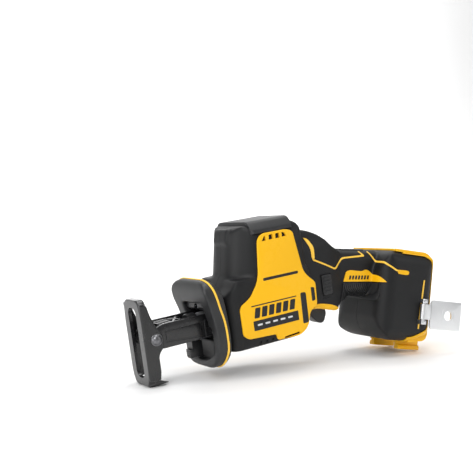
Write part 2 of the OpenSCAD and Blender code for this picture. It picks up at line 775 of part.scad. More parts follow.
module stator_coils() {
    color(copper) {
        for (z = [stator_z - 3, stator_z + stator_h]) ring_z(motor_x, z, rotor_r + 2.5, stator_r - 3.5, 3);
        for (i = [0:slot_count - 1]) {
            rotate_about(motor_x, (i + 0.5) * 360 / slot_count)
                cuboid([rotor_r + 3, stator_r - 3.5], [-2.1, 2.1], [stator_z - 0.5, stator_z + stator_h + 0.5]);
        }
    }
}

module lower_bearing() { color(steel) ring_z(motor_x, case_top + 2, shaft_r + run_gap, bearing_r, bearing_h); }
module upper_bearing() { color(steel) ring_z(motor_x, holder_z, shaft_r + run_gap, bearing_r, bearing_h - 0.5); }

module bearing_holder() {
    color(nylon) difference() {
        intersection() {
            translate([motor_x, 0, holder_z + 0.5]) union() {
                cylinder(r = bearing_r + 2, h = bearing_h - 1);
                cuboid([-3, 3], [-head_half_w, head_half_w], [0, bearing_h - 1]);
            }
            head_upper_form(wall);
        }
        translate([motor_x, 0, holder_z - 1]) cylinder(r = bearing_r, h = 20);
    }
}

module spindle() {
    color(steel) difference() {
        union() {
            rod_x(spindle_front, spindle_r, crank_x - yoke_half_x - spindle_front + 1);
            rod_x(crank_x + yoke_half_x - 1, spindle_r, spindle_rear - crank_x - yoke_half_x + 1);
            along_z(-yoke_half_z, 2 * yoke_half_z) outline(block(crank_x - yoke_half_x,
                crank_x + yoke_half_x, -yoke_half_y, yoke_half_y, 4));
        }
        along_z(-yoke_half_z - 1, 2 * yoke_half_z + 2) outline(block(crank_x - slot_half_x,
            crank_x + slot_half_x, -slot_half_y, slot_half_y, 3.5));
        bore_y(clamp_pin_x, 0, clamp_pin_r);
    }
}

blade_slot_h = 8.4;

module blade_clamp() {
    color(black_steel) difference() {
        union() {
            rod_x(clamp_front, clamp_r, clamp_len);
            rod_x(clamp_front - 2, clamp_r - 1.6, 4);
        }
        rod_x(spindle_front, spindle_r, 40);
        cuboid([clamp_front - 5, spindle_front], [-1, 1] * blade_slot_w / 2, [-1, 1] * blade_slot_h / 2);
        bore_y(clamp_pin_x, 0, clamp_pin_r);
    }
}

module clamp_pin() { color(steel) rod_y(clamp_pin_x, 0.6 - clamp_r, 0, clamp_pin_r, 2 * clamp_r - 1.2); }

lever_x = 49;
lever_w = 8;
lever_r = clamp_r + 5.6;

module release_lever() {
    color(nylon) difference() {
        union() {
            rod_x(lever_x, lever_r, lever_w);
            along_x(lever_x, lever_w + 2) outline(block(-5, 5, -27, -lever_r + 2, 3));
            along_x(lever_x - 2, lever_w) outline(block(-5, 5, -27, -19, 3));
        }
        rod_x(lever_x - 5, clamp_r + 1, 30);
        rod_x(lever_x + lever_w, lever_r + fit_gap, 10);
    }
}

// ---- nose trim and lamp ----

lamp_z = 16.5;

module nose_trim() {
    color(nylon) difference() {
        intersection() {
            along_x(60.5, case_front - 60.8) outline(block(-opening_half_y + 0.2, opening_half_y - 0.2,
                bracket_high + 1.4, opening_high - 0.2, 3));
            along_y(30) outline([[60.5, opening_high, 0], [60.5, lamp_z - 2, 2], [64, bracket_high + 1, 2],
                [case_front, bracket_high + 1, 0], [case_front, opening_high, 0]]);
        }
        translate([0, 0, lamp_z]) rod_x(55, 3.2, 14);
    }
}

module led_lens() {
    color("white") translate([62, 0, lamp_z]) rotate([0, 90, 0]) rotate_extrude()
        polygon([[0, 0], [2, 0.3], [3.2, 1.6], [3.2, 7], [0, 7]]);
}

// ---- grips ----

module grip_top() {
    color(rubber) intersection() {
        in_handle() translate([0, 0, handle_half_h]) along_x(-14, 26) outline([[-11, 0, 0], [11, 0, 0],
            [9, 1.4, 0], [-9, 1.4, 0]], 0);
        in_handle() along_z(0, 60) outline(block(-14, 12, -11, 11, 4));
    }
}

rib_count = 13;
rib_pitch_x = 3;
rib_start = -17;
rib_rise = 0.9;
grip_rise = 0.5;

// Section of a sleeve that stands out from the handle by rise
module sleeve_section(rise) {
    polygon(soft([[-handle_half_w - rise, -9, 2], [-handle_half_w - rise, -handle_half_h - rise, 11],
        [handle_half_w + rise, -handle_half_h - rise, 11], [handle_half_w + rise, -9, 2]]));
}

module grip_ribbed() {
    color(rubber) difference() {
        in_handle() union() {
            for (i = [0:rib_count - 1]) along_x(rib_start + i * rib_pitch_x, 1.7) sleeve_section(rib_rise);
            along_x(rib_start, 38) sleeve_section(grip_rise);
        }
        handle_form(0);
        neck_form(0);
        foot_form(0);
    }
}

BADGE_SIDE = [[-18, -8.4, 0], [21, -8.4, 0], [14, 1, 2], [9, 3.4, 2], [4, 1.4, 2], [-10, 2.6, 2],
    [-15, 1.4, 2]];

module badge(side) {
    color(yellow) difference() {
        in_handle() translate([0, side * (handle_half_w + 0.5), 0]) along_y(0.5) outline(BADGE_SIDE);
        neck_form(0);
        foot_form(0);
    }
}

module badge_left() { badge(-1); }
module badge_right() { badge(1); }

// ---- foot pieces ----

TRIM_SIDE = [[-20, foot_high - 1, 0], [foot_rear_u - 11, foot_high - 1, 6],
    [foot_rear_u - 1, foot_high - 11, 6], [foot_rear_u - 3, -36, 3], [6, -47, 0], [6, -50, 1],
    [foot_rear_u - 5, -47.5, 4], [foot_rear_u + 1.5, -37.5, 3], [foot_rear_u + 1.5, foot_high - 10, 6],
    [foot_rear_u - 10, foot_high + 1.5, 6], [-20, foot_high + 1.5, 0]];

// Bumper over the foot's top and rear corner
module foot_trim() {
    color(yellow) difference() {
        in_foot() intersection() {
            along_y(foot_half_w + 1) polygon(soft(TRIM_SIDE));
            along_z(-60, 110) outline(block(-24, foot_rear_u + 1.5, -foot_half_w + 5, foot_half_w - 5, 6));
        }
        foot_form(0);
        handle_form(0);
        battery_recess();
    }
}

rail_y = 15;
rail_w = 5;
rail_tip = -58;
RAIL_SECTION = [[rail_y, rail_tip, 0], [rail_y + rail_w + 2, rail_tip, 1],
    [rail_y + rail_w + 2, rail_tip + 4, 1], [rail_y + rail_w, rail_tip + 5, 0],
    [rail_y + rail_w, -38, 0], [rail_y, -38, 0]];

module battery_rails() {
    color(yellow) in_foot() {
        for (s = [0, 1]) mirror([0, s, 0]) along_x(4, 27) outline(RAIL_SECTION);
        cuboid([4, 31], [-rail_y, rail_y], [-40.5, -38]);
    }
}

module terminal_block() {
    color(nylon) in_foot() cuboid([8, 27], [-12, 12], [-44, -40.5]);
}

terminal_pitch = 5.6;

module terminals() {
    color(bronze) in_foot() for (i = [-2:1:1]) {
        cuboid([12, 24], [(i + 0.5) * terminal_pitch - 0.4, (i + 0.5) * terminal_pitch + 0.4], [-47.5, -44]);
    }
}

module control_module() {
    color(nylon) in_foot() along_x(-18, 24) outline(block(-22, 22, -6, 12, 3));
}

module switch_body() {
    color(nylon) in_handle() along_x(-28, 26) outline(block(-8, 8, -12, 4, 1.5));
}

// ---- trigger, lock and hook ----

TRIGGER_SIDE = [[trigger_x - 3, trigger_z - 3, 2], [trigger_x - 2.5, -16, 2], [trigger_x + 6, -25, 3],
    [trigger_x + 12, -25.5, 3], [trigger_x + 16, -17, 2], [trigger_x + 14, -5, 1],
    [trigger_x + 2, trigger_z + 3, 2], [trigger_x - 3, trigger_z + 3, 2]];

module trigger() {
    color(nylon) difference() {
        along_y(trigger_half_w) outline(TRIGGER_SIDE);
        bore_y(trigger_x, trigger_z, trigger_pin_r + run_gap);
        cuboid([trigger_x + 3, trigger_x + 12], [-4, 4], [spring_z, 10]);
    }
}

module trigger_pin() {
    color(steel) rod_y(trigger_x, -neck_half_w + wall, trigger_z, trigger_pin_r, 2 * (neck_half_w - wall));
}

spring_wire_r = 0.45;
spring_r = 2.6;
spring_pitch = 1.6;
spring_turns = 5;
spring_z = -9;

// Stack of coils between the trigger and the switch
module trigger_spring() {
    color(steel) translate([trigger_x + 7.5, 0, spring_z]) {
        for (i = [0:spring_turns]) {
            translate([0, 0, spring_wire_r + i * spring_pitch]) rotate_extrude()
                translate([spring_r, 0]) circle(r = spring_wire_r, $fn = 16);
        }
        translate([spring_r, 0, spring_wire_r]) cylinder(r = 0.4, h = spring_turns * spring_pitch, $fn = 16);
    }
}

module lock_button() {
    color(rubber) along_y(neck_half_w + 1.5)
        outline(block(lock_x - lock_half_x, lock_x + lock_half_x,
            lock_z - lock_half_z, lock_z + lock_half_z, 2));
}

HOOK_PLATE = [[hook_u + 9, hook_low, 4], [hook_u + 9 + hook_len, hook_low, 1.5],
    [hook_u + 9 + hook_len, hook_low + hook_h, 1.5], [hook_u + 9, hook_low + hook_h, 4]];
hook_hole_u = hook_u + 9 + hook_len * 0.57;
hook_hole_w = hook_low + hook_h / 2;

module hook_barrel(w, h) {
    translate([hook_u, -hook_y, w]) cylinder(r = hook_barrel_r, h = h);
}

module hang_hook() {
    color(steel) in_foot() difference() {
        union() {
            translate([0, -hook_y, 0]) along_y(hook_t / 2) outline(HOOK_PLATE);
            cuboid([hook_u, hook_u + 10], [-hook_y - hook_t / 2, -hook_y + hook_t / 2],
                [hook_w - hook_barrel_h / 2, hook_w + hook_barrel_h / 2]);
            hook_barrel(hook_w - hook_barrel_h / 2, hook_barrel_h);
            translate([hook_hole_u - 11, -hook_y - 0.6, hook_hole_w])
                along_y(0.9) outline(block(-0.9, 0.9, -5, 5, 0.6));
        }
        translate([hook_u, -hook_y, hook_w - 20]) cylinder(r = hook_pin_r + run_gap, h = 40);
        rod_y(hook_hole_u, -hook_y - 10, hook_hole_w, hook_hole_r, 20);
    }
}

// Pin with the two brackets that hold it to the foot
module hook_pin() {
    color(steel) in_foot() {
        translate([hook_u, -hook_y, hook_w - hook_barrel_h / 2 - 5])
            cylinder(r = hook_pin_r, h = hook_barrel_h + 10);
        for (s = [-1, 1]) {
            translate([0, 0, hook_w + s * (hook_barrel_h / 2 + 2.8)])
                cuboid([hook_u - 3, hook_u + 3], [-hook_y - 3, -foot_half_w], [-1, 1] * hook_lug_h / 2);
        }
    }
}

// ---- housing screws ----

module housing_screw(i) {
    s = SCREWS[i];
    color(steel) {
        rod_y(s[0], -s[2] + 7, s[1], screw_r, 2 * s[2] - 12);
        rod_y(s[0], s[2] - 5, s[1], screw_head_r, 2.2);
    }
}

module case_screw(i) {
    color(steel) translate([COVER_BOLTS[i][0], COVER_BOLTS[i][1], case_top]) {
        translate([0, 0, -9]) cylinder(r = cover_screw_r, h = 9 + cover_t_z);
        translate([0, 0, cover_t_z]) cylinder(r = 2.8, h = 2);
    }
}

module case_screw_1() { case_screw(0); }
module case_screw_2() { case_screw(1); }
module case_screw_3() { case_screw(2); }
module case_screw_4() { case_screw(3); }
module housing_screw_1() { housing_screw(0); }
module housing_screw_2() { housing_screw(1); }
module housing_screw_3() { housing_screw(2); }
module housing_screw_4() { housing_screw(3); }
module housing_screw_5() { housing_screw(4); }
module housing_screw_6() { housing_screw(5); }

housing_left();
housing_right();
side_cover_left();
side_cover_right();
top_cap();
guard_boot();
guard_piping();
shoe_bracket();
nose_trim();
led_lens();
grip_top();
grip_ribbed();
badge_left();
badge_right();
foot_trim();
battery_rails();
terminal_block();
terminals();
control_module();
switch_body();
gear_case();
gear_case_cover();
front_bush();
rear_bush();
spindle_seal();
stator_core();
stator_coils();
lower_bearing();
upper_bearing();
bearing_holder();
crank_gear();
crank_roller();
rotor_shaft();
rotor_core();
fan();
spindle();
blade_clamp();
clamp_pin();
shoe();
shoe_rivet_left();
shoe_rivet_right();
release_lever();
trigger();
trigger_pin();
trigger_spring();
lock_button();
hang_hook();
hook_pin();
housing_screw_1();
housing_screw_2();
housing_screw_3();
housing_screw_4();
housing_screw_5();
housing_screw_6();
bracket_screw_left();
bracket_screw_right();
case_screw_1();
case_screw_2();
case_screw_3();
case_screw_4();
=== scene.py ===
# %% [markdown]
# # A compact reciprocating saw
# The saw has an upright motor head, a rubber hand guard with a shoe on a steel channel in front of it, and an
# inline handle that ends in the battery foot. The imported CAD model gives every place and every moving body.
# This notebook puts the real surfaces round it: moulded shells, rubber grips, pressed and painted steel.

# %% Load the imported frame
import math

import bmesh
import bpy
from mathutils import Matrix, Vector


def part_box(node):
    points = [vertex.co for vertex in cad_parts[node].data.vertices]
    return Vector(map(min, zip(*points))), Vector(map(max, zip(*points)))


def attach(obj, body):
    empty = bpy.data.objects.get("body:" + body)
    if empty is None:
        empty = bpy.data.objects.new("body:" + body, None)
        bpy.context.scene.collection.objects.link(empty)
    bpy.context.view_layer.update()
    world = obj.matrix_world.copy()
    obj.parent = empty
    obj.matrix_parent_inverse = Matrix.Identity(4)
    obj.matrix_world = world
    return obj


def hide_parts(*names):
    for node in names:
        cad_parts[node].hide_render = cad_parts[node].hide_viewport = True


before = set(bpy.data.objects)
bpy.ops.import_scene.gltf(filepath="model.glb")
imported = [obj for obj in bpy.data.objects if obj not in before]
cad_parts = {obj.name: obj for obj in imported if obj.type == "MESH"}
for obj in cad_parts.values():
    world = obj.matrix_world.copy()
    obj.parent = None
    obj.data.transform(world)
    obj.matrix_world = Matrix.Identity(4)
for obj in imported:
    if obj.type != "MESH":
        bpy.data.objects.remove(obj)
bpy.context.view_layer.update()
MM = 0.001
PIVOT_X = 11.4
LAMP_Z = 16.5
HOOK_AXIS = (14, -41.8, 0)
HANG_HOLE = (46.37, -20.75)

# %% [markdown]
# ## The camera
# The saw was seen from its left and a little from the front, close enough that its shoe looks larger than its
# foot. The camera is placed by its position and three angles, with no shift and no depth of field.

# %% Camera
CAMERA_AT = Vector((-254.36, -635.12, 133.52)) * MM
camera_data = bpy.data.cameras.new("camera")
camera_data.lens = 61.95
camera_data.sensor_width = 36
camera_data.clip_start = 0.01
camera = bpy.data.objects.new("camera", camera_data)
bpy.context.scene.collection.objects.link(camera)
yaw, pitch, roll = math.radians(29.91), math.radians(4.9), math.radians(7.98)
forward = Vector((math.sin(yaw) * math.cos(pitch), math.cos(yaw) * math.cos(pitch), -math.sin(pitch)))
level_right = Vector((math.cos(yaw), -math.sin(yaw), 0))
level_down = forward.cross(level_right)
right = level_right * math.cos(roll) + level_down * math.sin(roll)
down = level_down * math.cos(roll) - level_right * math.sin(roll)
turn = Matrix((right, -down, -forward)).transposed().to_4x4()
camera.matrix_world = Matrix.Translation(CAMERA_AT) @ turn
bpy.context.scene.camera = camera
print("camera at", [round(v, 3) for v in camera.location])

# %% [markdown]
# ## Outlines, the workshop's first helper
# Nearly every piece here starts as a flat outline, as a sheet or a sketch does. The helper lays a few corner
# points in a plane, rounds each corner with a vertex bevel, and extrudes the face to a thickness. Doing it with
# operators keeps the corners round at any radius, where a typed list of points would have to be redone.

# %% Outline helper
PLANES = {
    "side": lambda a, b, c: Vector((a, c, b)),
    "front": lambda a, b, c: Vector((c, a, b)),
    "top": lambda a, b, c: Vector((a, b, c)),
}


def outline_mesh(points, plane, low, high, corner_steps=5):
    """A rounded outline, extruded from low to high across its plane. Points are (a, b, corner cut) in mm."""
    place = PLANES[plane]
    bm = bmesh.new()
    verts = [bm.verts.new(place(p[0], p[1], low) * MM) for p in points]
    face = bm.faces.new(verts)
    edge_lengths = {v: min(e.calc_length() for e in v.link_edges) for v in verts}
    for vert, point in zip(verts, points):
        cut = min(point[2] * MM, 0.46 * edge_lengths[vert])
        if cut > 0:
            bmesh.ops.bevel(bm, geom=[vert], offset=cut, affect="VERTICES", segments=corner_steps,
                            profile=0.5, material=-1)
    face = max(bm.faces, key=lambda f: f.calc_area())
    out = bmesh.ops.extrude_face_region(bm, geom=[face])
    moved = [g for g in out["geom"] if isinstance(g, bmesh.types.BMVert)]
    bmesh.ops.translate(bm, verts=moved, vec=place(0, 0, high - low) * MM)
    bmesh.ops.recalc_face_normals(bm, faces=bm.faces)
    return bm


SHARP_DEGREES = 40


def round_edges(bm, radius, segments=3):
    """Bevels every edge that turns sharply."""
    limit = math.radians(SHARP_DEGREES)
    edges = [e for e in bm.edges if len(e.link_faces) == 2 and e.calc_face_angle(0) > limit]
    bmesh.ops.bevel(bm, geom=edges, offset=radius * MM, offset_type="OFFSET", affect="EDGES",
                    segments=segments, profile=0.5, material=-1, clamp_overlap=True)
    return bm


def link(name, bm):
    """Turns a bmesh into an object at the origin."""
    mesh = bpy.data.meshes.new(name)
    bm.normal_update()
    bm.to_mesh(mesh)
    bm.free()
    thing = bpy.data.objects.new(name, mesh)
    bpy.context.scene.collection.objects.link(thing)
    return thing


def plate(name, points, plane, low, high, edge=0.0, steps=5, segments=3):
    """An outline with a thickness and softened rims, as an object."""
    bm = outline_mesh(points, plane, low, high, steps)
    if edge > 0:
        round_edges(bm, edge, segments)
    return link(name, bm)


def block(a0, a1, b0, b1, cut):
    """The four corner points of a rounded rectangle."""
    return [(a0, b0, cut), (a1, b0, cut), (a1, b1, cut), (a0, b1, cut)]


def circle(a, b, radius, step=10, start=0, stop=360):
    """Corner points round a circle, or round a part of one, in degrees."""
    return [(a + radius * math.cos(math.radians(turn)), b + radius * math.sin(math.radians(turn)), 0)
            for turn in range(start, stop, step)]


def mirrored(points):
    """The corners of one half, followed by their mirror image."""
    return points + [(-a, b, cut) for a, b, cut in reversed(points)]


def span(side, inner, outer):
    """The lower and upper limit between two distances from the middle, on side -1 or 1."""
    return sorted((side * inner, side * outer))


SIDES = (("left", -1), ("right", 1))


def detail(full):
    return full


print("outline helper ready")

# %% [markdown]
# ## Cutting, joining and settling a surface
# A moulded body is the overlap of what its side, front and top show. Boolean modifiers make that overlap and
# the cuts. A voxel remesh then turns the sharp joins into one skin, and a few passes of smoothing round every
# inside and outside corner alike, which is just what a mould maker's radii do.

# %% Boolean and skin helpers
def apply_modifiers(thing):
    """Bakes an object's modifiers into its mesh."""
    graph = bpy.context.evaluated_depsgraph_get()
    mesh = bpy.data.meshes.new_from_object(thing.evaluated_get(graph))
    thing.modifiers.clear()
    old = thing.data
    thing.data = mesh
    bpy.data.meshes.remove(old)
    mesh.name = thing.name
    return thing


CUT, MEET, FAST = "DIFFERENCE", "INTERSECT", "MANIFOLD"


def combine(base, others, operation, solver="EXACT"):
    """Unites, cuts or intersects base with other objects, which are used up."""
    for other in others:
        step = base.modifiers.new(operation, "BOOLEAN")
        step.operation = operation
        step.solver = solver
        step.object = other
        apply_modifiers(base)
        bpy.data.objects.remove(other)
    return base


def three_views(name, side, front, top):
    """The solid whose side, front and top views are these three plates."""
    return combine(side, [front, top], MEET)


def skin(name, parts, voxel, passes):
    """Joins closed parts into one smooth skin."""
    bm = bmesh.new()
    for part in parts:
        bm.from_mesh(part.data)
        bpy.data.objects.remove(part)
    whole = link(name, bm)
    remesh = whole.modifiers.new("skin", "REMESH")
    remesh.mode = "VOXEL"
    remesh.voxel_size = voxel * MM
    apply_modifiers(whole)
    bm = bmesh.new()
    bm.from_mesh(whole.data)
    for _ in range(passes):
        bmesh.ops.smooth_vert(bm, verts=bm.verts, factor=0.5, use_axis_x=True, use_axis_y=True,
                              use_axis_z=True)
    bm.to_mesh(whole.data)
    bm.free()
    return whole


def smooth(thing, angle=35):
    """Shades smoothly, with edges over an angle kept crisp."""
    thing.data.shade_smooth()
    bm = bmesh.new()
    bm.from_mesh(thing.data)
    for edge in bm.edges:
        edge.smooth = edge.calc_face_angle(0) < math.radians(angle)
    bm.to_mesh(thing.data)
    bm.free()
    return thing


print("surface helpers ready")

# %% [markdown]
# ## Finishing helpers
# Each piece rides on a CAD body, takes a material, and may stand for CAD nodes.

# %% Fit a piece to its body
made = []


def fit(thing, body, material, slot, *nodes, angle=35):
    """Rides a piece on its body with its material and the CAD nodes it stands for; the record slot is not used."""
    thing.data.materials.clear()
    thing.data.materials.append(material)
    smooth(thing, angle)
    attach(thing, body)
    if nodes:
        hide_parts(*nodes)
    made.append(thing.name)
    print("made", thing.name, len(thing.data.polygons), "faces on", body)
    return thing


# %% [markdown]
# ## Shared surface effects
# Three effects return on most finishes, so each is a node group: a moulded grain for plastics and rubbers, the
# pale wear that rubbing leaves along outside edges, and a soft mottling that keeps a colour from looking flat.

# %% Effect groups
def new_group(name, inputs, outputs):
    """An empty shader group with named float or colour sockets."""
    group = bpy.data.node_groups.new(name, "ShaderNodeTree")
    for label, value in inputs:
        socket = group.interface.new_socket(label, in_out="INPUT", socket_type="NodeSocketFloat")
        socket.default_value = value
    for label in outputs:
        group.interface.new_socket(label, in_out="OUTPUT", socket_type="NodeSocketFloat")
    return group, group.nodes.new("NodeGroupInput"), group.nodes.new("NodeGroupOutput")


def math_node(group, operation, a, b):
    """A math node whose inputs are sockets or numbers."""
    node = group.nodes.new("ShaderNodeMath")
    node.operation = operation
    for index, value in enumerate((a, b)):
        if hasattr(value, "links"):
            group.links.new(value, node.inputs[index])
        else:
            node.inputs[index].default_value = value
    return node.outputs[0]


def noise_node(group, scale, octaves, roughness=0.5):
    """Noise in object coordinates."""
    place = group.nodes.new("ShaderNodeTexCoord")
    noise = group.nodes.new("ShaderNodeTexNoise")
    group.links.new(place.outputs["Object"], noise.inputs["Vector"])
    if hasattr(scale, "links"):
        group.links.new(scale, noise.inputs["Scale"])
    else:
        noise.inputs["Scale"].default_value = scale
    noise.inputs["Detail"].default_value = octaves
    noise.inputs["Roughness"].default_value = roughness
    return noise.outputs["Fac"]


def grain_group():
    """Fine pits of a spark-eroded mould, with slow changes of gloss."""
    group, inlet, outlet = new_group("moulded_grain", [("Scale", 900.0), ("Gloss", 0.5), ("Swing", 0.1)],
                                     ["Height", "Roughness"])
    fine = noise_node(group, inlet.outputs["Scale"], 3)
    slow = noise_node(group, 45, 2)
    centred = math_node(group, "SUBTRACT", slow, 0.5)
    swing = math_node(group, "MULTIPLY", centred, inlet.outputs["Swing"])
    rough = math_node(group, "ADD", swing, inlet.outputs["Gloss"])
    group.links.new(fine, outlet.inputs["Height"])
    group.links.new(rough, outlet.inputs["Roughness"])
    return group


def wear_group():
    """Where outside edges have been rubbed."""
    group, inlet, outlet = new_group("edge_wear", [("Amount", 0.5), ("Scale", 220.0)], ["Mask"])
    shape = group.nodes.new("ShaderNodeNewGeometry")
    ramp = group.nodes.new("ShaderNodeMapRange")
    ramp.inputs["From Min"].default_value = 0.53
    ramp.inputs["From Max"].default_value = 0.62
    group.links.new(shape.outputs["Pointiness"], ramp.inputs["Value"])
    patches = noise_node(group, inlet.outputs["Scale"], 4, 0.65)
    broken = math_node(group, "GREATER_THAN", patches, 0.47)
    rubbed = math_node(group, "MULTIPLY", ramp.outputs["Result"], broken)
    group.links.new(math_node(group, "MULTIPLY", rubbed, inlet.outputs["Amount"]), outlet.inputs["Mask"])
    return group


def mottle_group():
    """Soft patches from 0 to 1 for a colour that isn't flat."""
    group, inlet, outlet = new_group("mottle", [("Scale", 60.0), ("Strength", 0.5)], ["Mask"])
    patches = noise_node(group, inlet.outputs["Scale"], 5, 0.6)
    group.links.new(math_node(group, "MULTIPLY", patches, inlet.outputs["Strength"]), outlet.inputs["Mask"])
    return group


GRAIN, WEAR, MOTTLE = grain_group(), wear_group(), mottle_group()
print("effects:", GRAIN.name, WEAR.name, MOTTLE.name)

# %% [markdown]
# ## The finishes
# One builder makes every opaque finish: a base colour mottled towards a second one, wear towards a third, and
# grain in the bump. What differs between rubber, nylon, paint and steel is in the numbers beside each name.

# %% Finish builder
def place_group(material, group, **values):
    """Puts an effect group in a material with its own values."""
    node = material.node_tree.nodes.new("ShaderNodeGroup")
    node.node_tree = group
    for label, value in values.items():
        node.inputs[label].default_value = value
    return node


def mix_colour(material, mask, first, second):
    """Mixes two colours, each a socket or a colour, by a mask."""
    tree = material.node_tree
    mix = tree.nodes.new("ShaderNodeMix")
    mix.data_type = "RGBA"
    tree.links.new(mask, mix.inputs[0])
    for index, value in ((6, first), (7, second)):
        if hasattr(value, "links"):
            tree.links.new(value, mix.inputs[index])
        else:
            mix.inputs[index].default_value = (*value, 1)
    return mix.outputs[2]


def finish(name, colour, shade, worn, gloss, swing=0.1, grain=900.0, bump=0.15, depth=0.02, wear=0.4,
           mottle=0.5, metallic=0.0, coat=0.0, specular=0.5):
    """An opaque finish from the shared effects."""
    material = bpy.data.materials.new(name)
    material.use_nodes = True
    tree = material.node_tree
    shader = tree.nodes["Principled BSDF"]
    patches = place_group(material, MOTTLE, Strength=mottle)
    rub = place_group(material, WEAR, Amount=wear)
    pits = place_group(material, GRAIN, Scale=grain, Gloss=gloss, Swing=swing)
    mottled = mix_colour(material, patches.outputs["Mask"], colour, shade)
    tree.links.new(mix_colour(material, rub.outputs["Mask"], mottled, worn), shader.inputs["Base Color"])
    tree.links.new(pits.outputs["Roughness"], shader.inputs["Roughness"])
    relief = tree.nodes.new("ShaderNodeBump")
    relief.inputs["Strength"].default_value = bump
    relief.inputs["Distance"].default_value = depth * MM
    tree.links.new(pits.outputs["Height"], relief.inputs["Height"])
    tree.links.new(relief.outputs["Normal"], shader.inputs["Normal"])
    shader.inputs["Metallic"].default_value = metallic
    shader.inputs["Coat Weight"].default_value = coat
    shader.inputs["Coat Roughness"].default_value = 0.12
    shader.inputs["Specular IOR Level"].default_value = specular
    return material


# %% [markdown]
# Rubber is dark, wide in its highlights and almost free of wear. The yellow covers are a smooth glass-filled
# nylon. The shoe is stoved black paint over steel, so it shines where it bends and pales where it rubs.

# %% Plastics, rubbers and paint
grip_rubber = finish("grip_rubber", (0.014, 0.0145, 0.0155), (0.021, 0.0215, 0.023), (0.035, 0.035, 0.037), 0.45,
                     grain=1400, bump=0.25, depth=0.05, wear=0.15)
grip_rib_rubber = finish("grip_rib_rubber", (0.018, 0.0185, 0.0195), (0.026, 0.0265, 0.028),
                         (0.055, 0.055, 0.058), 0.36, grain=1600, bump=0.2, depth=0.04, wear=0.3)
shell_nylon = finish("shell_nylon", (0.0075, 0.0078, 0.0085), (0.012, 0.0124, 0.0135), (0.03, 0.03, 0.032), 0.48,
                     grain=2200, bump=0.25, depth=0.04, wear=0.2, specular=0.3)
black_nylon = finish("black_nylon", (0.008, 0.0083, 0.009), (0.013, 0.0135, 0.0145), (0.035, 0.035, 0.037), 0.38,
                     grain=1800, bump=0.2, depth=0.03, wear=0.3)
cap_nylon = finish("cap_nylon", (0.01, 0.0105, 0.0115), (0.015, 0.016, 0.0175), (0.04, 0.04, 0.043), 0.46,
                   grain=2000, bump=0.2, depth=0.03, wear=0.3)
cover_yellow = finish("cover_yellow", (0.93, 0.5, 0.006), (0.88, 0.45, 0.004), (0.98, 0.6, 0.06), 0.36,
                      grain=2600, bump=0.1, depth=0.02, wear=0.25, mottle=0.35, specular=0.3)
piping_yellow = finish("piping_yellow", (0.98, 0.6, 0.06), (0.92, 0.5, 0.03), (1.0, 0.75, 0.3), 0.45,
                       grain=1500, bump=0.15, depth=0.03, wear=0.2)
label_black = finish("label_black", (0.004, 0.004, 0.0045), (0.007, 0.007, 0.0075), (0.015, 0.015, 0.015), 0.4,
                     grain=2600, bump=0.05, wear=0.1)
black_paint = finish("black_paint", (0.005, 0.005, 0.0055), (0.009, 0.009, 0.01), (0.06, 0.06, 0.063), 0.26,
                     swing=0.16, grain=1500, bump=0.2, depth=0.03, wear=0.55, coat=0.35)
print("plastics, rubbers and paint ready")

# %% [markdown]
# Metals take the same builder with Metallic at 1. Turned, brushed and laminated steels also need lines in one
# direction, which a stretched noise gives to the bump.

# %% Metals
def brushed(name, colour, shade, gloss, stretch, bump=0.25):
    """Bare metal whose brushing runs along the axis with the smallest stretch."""
    material = finish(name, colour, shade, tuple(min(1, c * 1.15) for c in colour), gloss, grain=500,
                      bump=0.1, wear=0.3, metallic=1.0)
    tree = material.node_tree
    place = tree.nodes.new("ShaderNodeTexCoord")
    mapping = tree.nodes.new("ShaderNodeMapping")
    mapping.inputs["Scale"].default_value = stretch
    lines = tree.nodes.new("ShaderNodeTexNoise")
    lines.inputs["Scale"].default_value = 40
    lines.inputs["Detail"].default_value = 4
    tree.links.new(place.outputs["Object"], mapping.inputs["Vector"])
    tree.links.new(mapping.outputs["Vector"], lines.inputs["Vector"])
    relief = tree.nodes.new("ShaderNodeBump")
    relief.inputs["Strength"].default_value = bump
    relief.inputs["Distance"].default_value = 0.02 * MM
    tree.links.new(lines.outputs["Fac"], relief.inputs["Height"])
    tree.links.new(relief.outputs["Normal"], tree.nodes["Principled BSDF"].inputs["Normal"])
    return material


bright_steel = brushed("bright_steel", (0.72, 0.73, 0.75), (0.58, 0.59, 0.61), 0.26, (1, 30, 30))
plate_steel = brushed("plate_steel", (0.8, 0.81, 0.82), (0.68, 0.69, 0.7), 0.36, (1.5, 20, 30), 0.15)
rivet_steel = finish("rivet_steel", (0.2, 0.2, 0.21), (0.11, 0.11, 0.115), (0.42, 0.42, 0.44), 0.36, grain=700,
                     bump=0.4, depth=0.05, wear=0.6, metallic=1.0)
gear_steel = brushed("gear_steel", (0.5, 0.5, 0.52), (0.4, 0.4, 0.41), 0.3, (30, 30, 1))
motor_steel = brushed("motor_steel", (0.34, 0.35, 0.37), (0.22, 0.22, 0.24), 0.38, (1, 1, 90), 0.5)
gear_alloy = finish("gear_alloy", (0.5, 0.51, 0.53), (0.4, 0.41, 0.43), (0.7, 0.7, 0.72), 0.5, grain=650,
                    bump=0.4, depth=0.08, wear=0.4, metallic=0.9)
bush_bronze = finish("bush_bronze", (0.52, 0.34, 0.14), (0.36, 0.22, 0.09), (0.7, 0.5, 0.25), 0.4, grain=1300,
                     bump=0.3, depth=0.03, wear=0.4, metallic=1.0)
coil_copper = brushed("coil_copper", (0.6, 0.24, 0.09), (0.42, 0.15, 0.05), 0.35, (2, 2, 60), 0.8)
print("metals ready")


